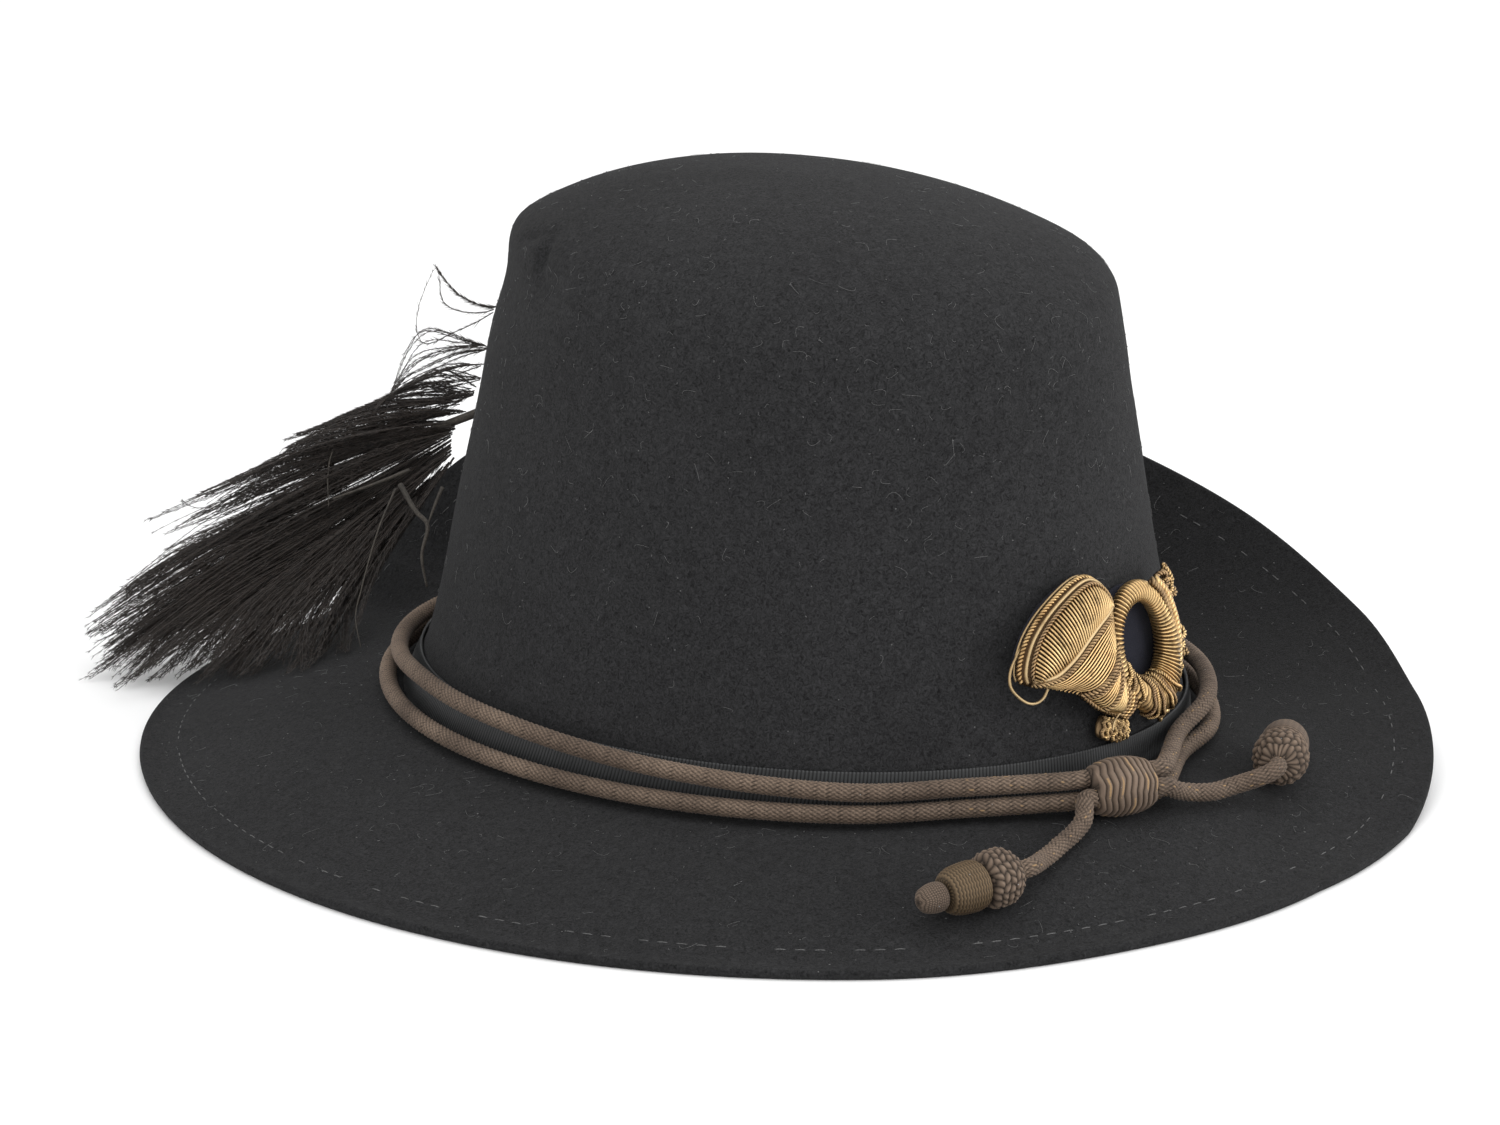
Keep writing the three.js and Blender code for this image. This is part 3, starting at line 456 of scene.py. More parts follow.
def cloth_material(name, dark, pale, dust, roughness=0.95, fibre_size=2600.0, specks=0.12, depth=0.00025):
    """Cloth that has faded in patches, with fine fibres and lint on it, and painted shade where a piece marks
    it.
    """
    material, tree, shader = new_material(
        name, roughness, Sheen_Weight=0.02, Sheen_Roughness=0.6, Specular_IOR_Level=0.1
    )
    fibre = grouped(tree, fibres, fibre_size)
    faded = mixed(tree, grouped(tree, patches, *fine_mottle)[0], dark, pale)
    faded = mixed(tree, grouped(tree, patches, *wide_fading)[0], faded, pale)
    # Painted shade: where a piece marks it, the cloth is darkened towards near black.
    cloth = mixed(tree, marked(tree, "less_faded"), faded, grey(0.004))
    grained = mixed(tree, 1.0, cloth, mixed(tree, fibre[2], grey(0.3), grey(1.75)), "MULTIPLY")
    dusted = mixed(tree, grouped(tree, lint, lint_cells, specks, lint_size)[0], grained, dust)
    finished(tree, shader, dusted, fibre[0], 0.6, depth)
    return material


felt_dark, felt_pale = grey(0.012, (1, 1, 1.05)), grey(0.0222, (1, 1, 1.04))
felt_black = cloth_material(
    "black_felt", felt_dark, felt_pale, grey(0.12), fibre_size=1300.0, specks=0.16, depth=0.0005
)
print("made", felt_black.name)

# %% [markdown]
# The crown and brim were pressed from one cone of felt, so they are one skin: up the outside, over the
# dome, and back down the inside. Small soft swells, a crease by the rear corner and a few tiny wrinkles
# come from handling, and are pushed into the points themselves so that they show from every side.

# %% Felt body
steps_round = 300
outer_spans = (0.007, 0.7, 34), (0.72, 0.93, 30), (0.937, 0.994, 18)
outer_shares = np.concatenate([np.linspace(*span) for span in outer_spans])
inner_shares = np.concatenate([np.linspace(0.0075, 0.7, 8), np.linspace(0.75, 0.988, 12)])
brim_shares = np.concatenate([np.linspace(0.012, 0.95, 30), [0.965, 0.98, 0.99, 1.0]])
under_shares = np.concatenate([np.linspace(0.012, 0.9, 14), [0.965, 1.0]])
turns = 360 * np.arange(steps_round) / steps_round
# Creases and soft wrinkles: where each is, how far it spreads in degrees and in share, how far it
# slants over a whole share, and how deep it is in millimetres.
crown_creases = table(
    "turn up across_turn across_up slant depth",
    (239, 0.876, 1.9, 0.024, -60, 2.2), (231, 0.888, 2.2, 0.008, 0, 1.0),
    (227.5, 0.876, 1.9, 0.007, 0, 0.8), (234.5, 0.902, 2.0, 0.007, 0, 0.8),
    (245, 0.83, 8.0, 0.045, 0, 1.8), (284, 0.9, 16.0, 0.014, 0, 0.4),
    (318, 0.885, 14.0, 0.014, 0, 0.4), (262, 0.905, 9.0, 0.01, 20, 0.4),
)
edge_angles, edge_reach = np.radians([-50, -18, 18, 50]), np.radians(62)


def crown_relief(turn, share):
    """How far handling has pushed the crown in, in millimetres."""
    angle = np.radians(turn)
    swell = 0.3 * np.sin(3 * angle + 7 * share) * np.sin(9 * share + 1.2)
    ripple = 0.18 * np.sin(7 * angle + 2 + 11 * share)
    relief = (swell + ripple) * np.sin(np.pi * share)
    for place, up, across_turn, across_up, slant, depth in zip(*crown_creases.values()):
        away = (turn - place + 180) % 360 - 180 - slant * (share - up)
        relief = relief + depth * np.exp(-((away / across_turn) ** 2) - ((share - up) / across_up) ** 2)
    return relief


def brim_relief(turn, share):
    """Soft waves over the brim, in millimetres, that die out at its foot and its edge."""
    angle = np.radians(turn)
    wave = 0.5 * np.sin(4 * angle + 1.0) + 0.3 * np.sin(9 * angle + 3 * share)
    return wave * np.sin(np.pi * share) ** 2


def felt_rings():
    """Rings of the whole skin: down inside, out under the brim, round its edge, back over it and up."""
    turn = turns[None, :]
    inner = crown_point(turn, inner_shares[:, None], felt_thickness)
    outer_relief = crown_relief(turn, outer_shares[:, None])
    outer = crown_point(turn, outer_shares[:, None], outer_relief)
    under = brim_point(turn, under_shares[:, None], felt_thickness)
    top = brim_point(turn, brim_shares[:, None], brim_relief(turn, brim_shares[:, None]))
    point, outward = foot(turns)
    bend = point - outward * 0.75 * felt_thickness
    bend[:, 2] = -0.7 * felt_thickness
    rounding = []
    for angle in edge_angles:
        depth = felt_thickness * (0.5 - 0.5 * np.sin(angle) / np.sin(edge_reach))
        near, far = brim_point(turns, 0.97, depth), brim_point(turns, 1.0, depth)
        rounding.append(far + unit(far - near) * 0.36 * felt_thickness * np.cos(angle))
    return np.concatenate([inner[::-1], bend[None], under, np.array(rounding), top[::-1], outer])


def closed_skin(rings, first_pole, last_pole):
    """Points and faces of rings that are closed over a point at each end."""
    count, sides = rings.shape[:2]
    points = np.concatenate([rings.reshape(-1, 3), [first_pole, last_pole]])
    side = np.arange(sides)
    beside, base, first, last = (side + 1) % sides, (count - 1) * sides, count * sides, count * sides + 1
    start = np.stack([np.full(sides, first), beside, side], -1)
    end = np.stack([np.full(sides, last), base + side, base + beside], -1)
    return points, grid_faces(count, sides), np.concatenate([start, end])


pole = np.array(0.0), np.array(1.0)
inner_top, outer_top = crown_point(*pole), crown_point(*pole)
inner_top[2] -= felt_thickness
rings = felt_rings()
# Painted shade: the felt is darkened a little on the crown near turn 222, more over the whole brim, and most
# on the brim's looped side, which turns away from the lamps.
less_faded = np.zeros(rings.shape[:2])
less_faded[-len(outer_shares):] = 0.2 * np.exp(-(((turns - 222) / 22) ** 2))
less_faded[:-len(outer_shares)] = 0.16 + 0.42 * np.exp(-(((turns - 62) / 42) ** 2))
felt_marks = {"less_faded": np.concatenate([less_faded.ravel(), [0, 0]])}
felt_skin = closed_skin(rings, inner_top, outer_top)
piece("felt_crown_and_brim", *felt_skin, felt_black, "felt", ["felt_body"], felt_marks)

# %% [markdown]
# The brim's edge is held by a single line of small stitches. On the real hat they sink into the felt
# and only short grey lengths show, so each one is a short thread that dips at both ends, and three in
# ten are left out.

# %% Brim stitches
thread_grey = cloth_material("stitch_thread", grey(0.03), grey(0.12), grey(0.2), 0.8, 4000.0, 0.0, 0.0001)
stitch_share, stitch_pitch, stitch_length, thread_radius = 0.868, 4.4, 2.7, 0.16
stitches_left = 0.7


def stitch_paths():
    """Centre lines of the stitches, evenly spaced along the brim."""
    fine = np.linspace(0, 360, 2001)
    line = brim_point(fine, stitch_share)
    walked = np.concatenate([[0], np.cumsum(np.linalg.norm(np.diff(line, axis=0), axis=1))])
    starts = np.arange(0, walked[-1] - stitch_pitch, stitch_pitch)
    starts = starts[random.random(len(starts)) < stitches_left]
    share = np.linspace(0, 1, 5)
    place = starts[:, None] + share * stitch_length
    turn = np.interp(place, walked, fine)
    sunk = 0.22 * (2 * share - 1) ** 2 - 0.05
    return brim_point(turn, stitch_share, sunk + brim_relief(turn, stitch_share))


tubes("brim_stitches", stitch_paths(), thread_radius, 4, thread_grey, "felt")

# %% [markdown]
# Old felt gathers pale hairs and lint. Most are a few millimetres long, bent a little, and lie on the
# surface, and on the crown more of them lie near its top, where things settle.

# %% Loose hairs and lint
hair_pale = cloth_material("pale_hair", grey(0.07), grey(0.17), grey(0.3), 0.8, 4000.0, 0.0, 0.00005)
# A name, how many, the shortest and the longest in millimetres, and their radius.
hair_kinds = (("crown_hairs", 760, 0.8, 4.5, 0.04), ("brim_hairs", 420, 0.8, 4.5, 0.035),
              ("crown_lint", 240, 0.25, 0.5, 0.09), ("brim_lint", 220, 0.25, 0.5, 0.09))
hair_points, hair_bow, hair_height = 6, 1.6, 0.12


def surface_lines(on_crown, count, shortest, longest):
    """Short bent lines on the crown or the brim, as paths a little above it."""
    turn = random.random((count, 1)) * 360
    share = random.random((count, 1))
    share = 0.14 + 0.85 * share**0.55 if on_crown else 0.08 + 0.88 * share
    length = shortest + (longest - shortest) * random.random((count, 1)) ** 2
    way, bend = random.random((2, count, 1)) * 2 * np.pi
    step = np.linspace(-0.5, 0.5, hair_points)[None, :]
    along = step * length * np.cos(way) + hair_bow * length * np.cos(bend) * step**2
    across = step * length * np.sin(way) + hair_bow * length * np.sin(bend) * step**2
    place, relief = (crown_point, crown_relief) if on_crown else (brim_point, brim_relief)
    # How many millimetres one whole share and one degree are here, so that no hair is stretched.
    share_length = np.linalg.norm(place(turn, share + 0.002) - place(turn, share - 0.002), axis=-1) / 0.004
    turn_length = np.linalg.norm(place(turn + 0.5, share) - place(turn - 0.5, share), axis=-1)
    turn, share = turn + across / turn_length, np.clip(share + along / share_length, 0.02, 0.985)
    return place(turn, share, relief(turn, share) - hair_height)


for name, count, shortest, longest, radius in hair_kinds:
    lines = surface_lines(name.startswith("crown"), count, shortest, longest)
    tubes(name, lines, radius, 3, hair_pale, "felt")

# %% [markdown]
# The ribbon is ribbed silk: each rib is a weft thread that runs up the ribbon, and the ribs show along
# its edge as tiny loops. They are real ridges in the mesh here, nine tenths of a millimetre apart.

# %% Ribbon band
def ribbon_material():
    """Black silk, with painted shade in the grooves between its ribs."""
    material, tree, shader = new_material("ribbed_ribbon", 0.5, Specular_IOR_Level=0.3)
    silk = grey(0.028, (0.97, 1, 1.03)), grey(0.06, (0.97, 1, 1.03))
    worn = mixed(tree, grouped(tree, patches, 60.0, 1.5)[0], *silk)
    # Painted shade: the grooves between the ribs are darkened to near black.
    ribbed = mixed(tree, marked(tree, "rib"), grey(0.004), worn)
    finished(tree, shader, ribbed, grouped(tree, fibres, 5000.0)[0], 0.3, 0.00005)
    return material


rib_pitch, rib_depth, rib_loop = 0.9, 0.26, 0.22
rib_count = int(round(np.pi * (half_length + half_width) / rib_pitch))
rib_steps, rib_shape, rib_shade_mask = 4, [0.0, 0.75, 1.0, 0.75], [0.0, 0.7, 1.0, 0.7]
band_shares, back_shares = (0.0, 0.04, 0.1, 0.35, 0.65, 0.9, 0.96, 1.0), (0.97, 0.5, 0.03)


def ribbon_rings():
    """Rings of the ribbon: up its ribbed front, then down its plain back."""
    turn = 360 * np.arange(rib_count * rib_steps) / (rib_count * rib_steps)
    rib = np.tile(rib_shape, rib_count)
    rows = []
    for share in band_shares:
        edge = 1.3 if share in (0.0, 1.0) else 1.0
        height = np.full_like(turn, band_lift + share * band_height)
        height = height + (rib_loop * (rib - 0.5) if share == 1.0 else 0)
        out = round_gap + band_thickness - rib_depth + rib_depth * rib * edge
        rows.append(beside_crown(turn, height, out[:, None]))
    for share in back_shares:
        height = np.full_like(turn, band_lift + share * band_height)
        rows.append(beside_crown(turn, height, round_gap + 0.1))
    return np.array(rows)


rings = ribbon_rings()
ribbon_faces = grid_faces(*rings.shape[:2], wrap_rings=True)
# The rib mark holds the painted shade: 0 in a groove and 1 on a rib's top.
rib_marks = {"rib": np.tile(rib_shade_mask, rib_count * len(rings))}
piece("ribbed_ribbon", rings, ribbon_faces, [], ribbon_material(), "ribbon", ["hat_band"], rib_marks)

# %% [markdown]
# The cord is braided: strands wind both ways round it and pass over and under each other. Weaving real
# strands would need far more faces than the picture can show, so the braid is a height on a fine tube:
# a cell of one family of strands stands up where the other family dives.

# %% Braided cord
braid_strands, braid_cell, braid_depth, braid_sides, braid_step = 12, 1.7, 0.21, 48, 0.5
curve_steps = 24


def braid_height(around, along):
    """Height from 0 to 1 of a braid, at a share round the cord and a length along it."""
    one, other = around * braid_strands + along / braid_cell, around * braid_strands - along / braid_cell
    over = (np.floor(one) + np.floor(other)) % 2 < 1
    across, length = np.where(over, other % 1, one % 1), np.where(over, one % 1, other % 1)
    return (1 - np.abs(2 * across - 1) ** 1.7) * (0.35 + 0.65 * np.sin(np.pi * length))


def smooth_path(points, step):
    """A smooth curve that passes through points, cut into even steps, and the lengths along it."""
    points = np.asarray(points, float)
    first, last = 2 * points[0] - points[1], 2 * points[-1] - points[-2]
    knots = np.concatenate([[first], points, [last]])
    spans = np.sqrt(np.linalg.norm(np.diff(knots, axis=0), axis=1))
    pieces = []
    for i in range(1, len(knots) - 2):
        times = np.concatenate([[0], np.cumsum(spans[i - 1:i + 2])])
        t = np.linspace(times[1], times[2], curve_steps, endpoint=i == len(knots) - 3)[:, None]
        # Four points are blended pair by pair into three, then two, then the place on the curve.
        blends = list(knots[i - 1:i + 3])
        for lows, highs in (((0, 1, 2), (1, 2, 3)), ((0, 1), (2, 3)), ((1,), (2,))):
            blends = [((times[high] - t) * one + (t - times[low]) * other) / (times[high] - times[low])
                      for low, high, one, other in zip(lows, highs, blends, blends[1:])]
        pieces.append(blends[0])
    line = np.concatenate(pieces)
    walked = np.concatenate([[0], np.cumsum(np.linalg.norm(np.diff(line, axis=0), axis=1))])
    even = np.linspace(0, walked[-1], max(int(round(walked[-1] / step)), 4) + 1)
    return np.stack([np.interp(even, walked, column) for column in line.T], -1), even


def cord_marks(around, along, height):
    """What the cord's finish reads: how high the braid stands, and a few strands with gold left."""
    near_knot = (along < 55) | (along > along.max() - 30)
    one, other = (np.floor(around * braid_strands + side * along / braid_cell) for side in (1, -1))
    golden_strand = (3 * one + 5 * other) % 7 == 3
    golden_stretch = np.sin(along / 5.0 + 0.7 * one) > 0.55
    glint = golden_strand & golden_stretch & (height > 0.7) & near_knot
    return {"braid": height, "glint": glint * height}


def braided_cord(name, points, material, node):
    """A braided cord along points, with the centre line and the length that it comes out with."""
    path, along = smooth_path(points, braid_step)
    around = np.arange(braid_sides) / braid_sides
    height = braid_height(around[None, :], along[:, None])
    radius = cord_diameter / 2 * (1 - braid_depth + braid_depth * height)
    spokes = tube_points(path[None], 1.0, braid_sides)[0] - path[:, None]
    skin = path[:, None] + spokes * radius[..., None]
    marks = cord_marks(around[None, :], along[:, None], height)
    made = piece(name, skin, *tube_faces(1, len(path), braid_sides), material, "cord", [node], marks)
    return made, path, along[-1]


# %% [markdown]
# The cord has faded to a greyish brown, with painted shade between its strands. A little of the gold that it
# once had is left on some strands near the knot, and it gathers lint like the felt.

# %% Finish of the cord
def cord_material(name, dark, pale, gold, roughness=0.85, metallic=0.0):
    """Faded brown braid with painted shade between its strands, and a little gold left on some."""
    material, tree, shader = new_material(
        name, roughness, Metallic=metallic, Sheen_Weight=0.05, Sheen_Roughness=0.4, Specular_IOR_Level=0.25
    )
    strand = mixed(tree, grouped(tree, patches, 60.0, 1.6)[0], dark, pale)
    # Painted shade: the colour darkens where the braid is low, between the strands.
    shade = wired(tree, "MapRange", Value=marked(tree, "braid"), To_Min=0.04, To_Max=1.3)[0]
    braided = mixed(tree, 1.0, strand, shade, "MULTIPLY")
    golden = mixed(tree, marked(tree, "glint"), braided, gold)
    dusted = mixed(tree, grouped(tree, lint, 900.0, 0.03, 0.1)[0], golden, grey(0.3))
    finished(tree, shader, dusted, grouped(tree, fibres, 5000.0)[0], 0.5, 0.0001)
    return material


cord_dark, cord_pale, cord_glint = (0.08, 0.056, 0.042, 1), (0.27, 0.198, 0.146, 1), (0.38, 0.24, 0.11, 1)
cord_brown = cord_material("faded_cord", cord_dark, cord_pale, cord_glint)
print("made", cord_brown.name)

# %% [markdown]
# The slide knot gathers two strands and both tails. Its middle stands a little in front of the band,
# and the strands leave its faces straight before they bend round the crown. The tails are the hat's
# only free cords: their points are the ones that the CAD source lists.

# %% Places of the knot and the cords
knot_turn, knot_stand, knot_length, knot_diameter, knot_skew = 349.5, 13.0, 15.0, 14.0, 14.0
knot_foot, knot_outward = foot(np.array(knot_turn))
knot_middle = knot_foot + knot_outward * knot_stand
brim_there = brim_point(np.array(knot_turn), np.array(knot_stand / brim_width))[2]
knot_middle[2] = knot_diameter / 2 + gap + brim_there
skew, (x, y) = -np.radians(knot_skew), (-knot_outward[1], knot_outward[0])
knot_axis = np.array([x * np.cos(skew) - y * np.sin(skew), x * np.sin(skew) + y * np.cos(skew), 0.0])
knot_front = np.array([knot_axis[1], -knot_axis[0], 0.0])
upper_strand = table(
    "turn rise",
    (0, 1.15), (14, 1.25), (32, 1.7), (55, 1.4), (90, 1.12), (180, 1.15), (215, 1.5), (240, 2.0),
    (260, 1.95), (280, 1.65), (300, 1.3), (318, 1.1), (336, 1.12), (360, 1.15),
)
upper_rise = smooth_curve(upper_strand, "turn", "rise")
# The tails' places, counted from the knot's middle.
near_tail_points = [
    [-14.9, -0.7, -4.3], [-28.2, -3.5, -6.5], [-36.5, -5.2, -7.0], [-45.0, -7.9, -5.9], [-47.6, -7.2, -6.0],
]
far_tail_points = [
    [14.4, -7.4, -3.3], [23.5, -9.3, -5.4], [31.4, -10.6, -5.5], [37.6, -14.2, -4.0], [41.4, -15.3, -3.0],
    [43.8, -14.1, -2.9],
]
leave_turn, strand_spots, strand_straight = 22, 24, 0.7 * cord_diameter


def knot_face(side, front, rise, straight=0.0):
    """A place on one of the knot's faces, or straight out from it."""
    out = side * (knot_length / 2 + gap + straight)
    return knot_middle + knot_axis * out + knot_front * front + np.array([0, 0, rise])


def strand_points(is_upper):
    """Places of one strand: out of the knot's face, round the crown, and into the other face."""
    out = 3 * round_gap + band_thickness + cord_diameter / 2
    inset, rise = -0.28 * cord_diameter, (0.56 if is_upper else -0.56) * cord_diameter
    points = [knot_face(1, inset, rise), knot_face(1, inset, rise, strand_straight)]
    for i in range(strand_spots + 1):
        turn = knot_turn + leave_turn + (360 - 2 * leave_turn) * i / strand_spots
        above = cord_diameter * upper_rise(turn % 360) if is_upper else 0
        height = cord_diameter / 2 + 2.2 * round_gap + above
        slack = 0 if i in (0, strand_spots) else 0.12 * knot_stand
        points.append(beside_crown(np.array(turn), np.array(height), out + slack))
    return points + [knot_face(-1, inset, rise, strand_straight), knot_face(-1, inset, rise)]


def tail_points(side, rise, places):
    """Places of one tail: straight out of the knot's face, then over the brim."""
    front, straight = 0.64 * cord_diameter, 0.5 * cord_diameter
    start = [knot_face(side, front, rise), knot_face(side, front, rise, straight)]
    return start + [knot_middle + np.array(place) for place in places]


for name, node, is_upper in (("lower_strand", "cord_lower", False), ("upper_strand", "cord_upper", True)):
    length = braided_cord(name, strand_points(is_upper), cord_brown, node)[2]
    print(name, "is", round(float(length)), "mm long")
tails = {}
for side, way, rise, places in (("near", -1, -0.2, near_tail_points), ("far", 1, -0.1, far_tail_points)):
    points = tail_points(way, rise * cord_diameter, places)
    tails[side] = braided_cord(f"{side}_tail", points, cord_brown, f"tail_{side}")
    print(side, "tail is", round(float(tails[side][2]), 1), "mm long")

# %% [markdown]
# The knot is a small barrel of cord wound edge to edge. Its ridges zigzag because the real one is
# plaited, and a few threads of gold still show along its ridges.

# %% Slide knot
def turned_skin(start, direction, length, radius, steps, sides, height, depth):
    """A turned form with a relief: radius is a curve over its length, height is the relief."""
    along = np.linspace(0, 1, steps)[:, None]
    around = np.arange(sides)[None, :] / sides
    direction = unit(np.asarray(direction, float))
    side = unit(np.cross(direction, [0.0, 0.0, 1.0]))
    over = np.cross(side, direction)
    relief = height(around, along)
    spoke = side * np.cos(2 * np.pi * around)[..., None] + over * np.sin(2 * np.pi * around)[..., None]
    reach = radius(along) - depth + depth * relief
    rings = start + direction * (length * along)[..., None] + spoke * reach[..., None]
    points, quads, caps = closed_skin(rings, start, start + direction * length)
    marks = np.concatenate([relief.ravel(), [0, 0]])
    return points, quads, caps, marks


knot_ridges, knot_waves, knot_steps, knot_sides = 10, 6, 121, 150


def knot_place(around, along):
    """Which ridge a place is on, and how far across it: the ridges zigzag and sway."""
    wave = np.abs(((around * knot_waves + 0.12 * np.sin(9 * along)) % 1) * 2 - 1) - 0.5
    return along * knot_ridges + 0.42 * wave + 0.18 * np.sin(2 * np.pi * around * 2 + 5 * along)


def knot_height(around, along):
    """Round ridges of cord, from 0 in a groove to 1 on a ridge."""
    return np.sqrt(np.clip(1 - (2 * (knot_place(around, along) % 1) - 1) ** 2, 0, 1))


def knot_radius(along):
    """The barrel's radius over its length."""
    return knot_diameter / 2 * (0.72 + 0.28 * np.sin(np.pi * np.clip(along, 0.02, 0.98)) ** 0.6)


knot_start = knot_middle - knot_axis * knot_length / 2
points, quads, caps, relief = turned_skin(
    knot_start, knot_axis, knot_length, knot_radius, knot_steps, knot_sides, knot_height, 0.9
)
# The gold that is left lies in short stretches along the top of every second ridge.
share, side = np.linspace(0, 1, knot_steps)[:, None], np.arange(knot_sides)[None, :]
place = knot_place(side / knot_sides, share)
patchy = np.sin(9 * share + 6) * np.sin(2 * np.pi * side / 37) > 0.1
gold_left = (np.floor(place) % 2 == 1) & (np.abs(place % 1 - 0.5) < 0.15) & patchy
# The braid mark also gives the knot painted shade in its grooves.
knot_marks = {"braid": relief * 0.72, "glint": np.append(gold_left, [0, 0]) * 0.6}
piece("slide_knot_plait", points, quads, caps, cord_brown, "cord", ["slide_knot"], knot_marks)

# %% [markdown]
# Each acorn has a crocheted cap, a nut wound with fine wire and a small tip. All three are turned forms
# whose relief differs: rows of little knots, close rings that zigzag, and the same little knots again
# but much finer. Wear has left wire showing on the near nut, and pressed the far one's rings flat.

# %% Acorns
def knots_height(around, along, count, rows):
    """Rows of little knots, each row set half a knot further round."""
    row = along * rows + 0.22 * np.sin(2 * np.pi * around * 5)
    column = around * count + 0.5 * (np.floor(row) % 2) + 0.2 * np.sin(3 * row + 2 * np.pi * around * 3)
    return np.abs(np.sin(np.pi * column)) ** 0.8 * np.abs(np.sin(np.pi * row)) ** 0.6


def wound_height(around, along, rings, waves):
    """Close rings of wire that zigzag a little round the nut."""
    wave = np.abs(((around * waves) % 1) * 2 - 1)
    return np.abs(np.sin(np.pi * (along * rings + 0.3 * wave))) * (0.75 + 0.25 * wave)


acorn_length, acorn_diameter, acorn_steps, acorn_sides = 27.8, 13.8, 64, 132
acorn_sections = {
    "cap": table("along wide", (0.0, 0.42), (0.05, 0.76), (0.17, 0.99), (0.28, 0.98), (0.345, 0.87)),
    "nut": table("along wide", (0.356, 0.76), (0.46, 0.86), (0.6, 0.83), (0.725, 0.68)),
    "tip": table("along wide", (0.736, 0.46), (0.82, 0.51), (0.93, 0.42), (0.985, 0.22)),
}
# For each part: how deep its relief is in millimetres, and the relief.
acorn_relief = {
    "cap": (0.75, lambda around, along: knots_height(around, along, 19, 6)),
    "nut": (0.45, lambda around, along: wound_height(around, along, 14, 24)),
    "tip": (0.14, lambda around, along: knots_height(around, along, 34, 12)),
}
acorn_aims = {"near": [-25.6, 7.0, -1.8], "far": [21.2, 11.8, 0.0]}
wire_shown, pressed_flat, flatness = ("nut", "near"), ("nut", "far"), 0.25


def acorn_radius(sections):
    """The radius of one part over its own length, rounded off at both ends."""
    first, last = sections["along"][[0, -1]]
    wide = smooth_curve(sections, "along", "wide")

    def radius(along):
        """The radius at shares of the part's length."""
        rounded = 1 - 0.25 * np.abs(2 * along - 1) ** 12
        return acorn_diameter / 2 * wide(first + (last - first) * along) * rounded

    return radius


wire_colours = (0.06, 0.042, 0.03, 1), (0.17, 0.12, 0.075, 1), (0.5, 0.33, 0.15, 1)
wound_wire = cord_material("worn_wire_on_nut", *wire_colours, roughness=0.5, metallic=0.35)
for side, (tail, path, length) in tails.items():
    aim, pieces = unit(np.array(acorn_aims[side])), []
    for part, sections in acorn_sections.items():
        first, last = sections["along"][[0, -1]]
        depth, height = acorn_relief[part]
        depth = depth * (flatness if (part, side) == pressed_flat else 1.0)
        start = path[-1] + aim * (2 * gap + acorn_length * first)
        radius = acorn_radius(sections)
        points, quads, caps, relief = turned_skin(
            start, aim, acorn_length * (last - first), radius, acorn_steps, acorn_sides, height, depth
        )
        finish, glint = (wound_wire, 0.15) if (part, side) == wire_shown else (cord_brown, 0.0)
        # The braid mark also gives each acorn painted shade in its hollows.
        marks = {"braid": relief * 0.8, "glint": relief * glint}
        name = f"acorn_{part}_{side}"
        pieces.append(piece(f"{name}_worked", points, quads, caps, finish, "cord", [name], marks))

# %% [markdown]
# The badge is a bugle horn of gold bullion: fine metal wire laid side by side over padding and edged
# with twisted cord. Its places are worked out on a slightly bent plate in front of the crown, as
# millimetres across and high from the middle of the coil, and out from the plate's back.

# %% Places on the badge
badge_width, badge_height, badge_shift, badge_bend = 60.0, 40.0, 4.5, 120.0
badge_below, badge_above = 0.56, 0.44
backing_thickness, bell_depth, coil_thickness, tassel_depth = 1.1, 7.0, 7.0, 2.0
badge_rise = band_lift + band_height + gap + 0.558 * badge_height
horn_bottom = backing_thickness + gap


def badge_point(places):
    """Places on the badge, given as across, high and out."""
    across, high, out = np.moveaxis(np.asarray(places, float), -1, 0)
    low, top = badge_rise - badge_below * badge_height, badge_rise + badge_above * badge_height
    wall_low, wall_top = (crown_point(0.0, level / crown_height)[1] for level in (low, top))
    height, x = badge_rise + high, badge_shift + across
    surface = wall_low + (wall_top - wall_low) * (height - low) / (top - low)
    return np.stack([x, surface - round_gap - out + x**2 / (2 * badge_bend), height], -1)


print("the coil's middle is", round(float(badge_rise), 1), "mm above the crown's foot")

# %% [markdown]
# Bullion is gilt wire that has tarnished in patches where it is old. Each gold mixes a dark, a pale and a
# warm colour, and its dark is painted shade: on the side of each wire that faces the crown, between the
# coil's turns, and over the bell's padding. Round wire, flat wire and twisted cord have aged differently, and
# the velvet behind them is nearly black.

# %% Gold and velvet
def gold_material(name, dark, pale, warm, roughness):
    """Old bullion: pale and warm gold with painted shade where the turn mark is low, tarnished in patches."""
    material, tree, shader = new_material(name, roughness, Metallic=0.85, Specular_IOR_Level=0.5)
    body = mixed(tree, grouped(tree, patches, 90.0, 2.0)[0], pale, warm)
    # Painted shade: the gold turns to its dark colour where the turn mark is low.
    grooves = mixed(tree, marked(tree, "turn"), dark, body)
    patch = grouped(tree, patches, 260.0, 2.2)[0]
    tarnish = wired(tree, "MapRange", Value=patch, From_Min=0.55, From_Max=0.95, To_Max=0.75)[0]
    worn = mixed(tree, tarnish, grooves, dark)
    finished(tree, shader, worn, grouped(tree, fibres, 2600.0)[0], 0.3, 0.00008)
    return material


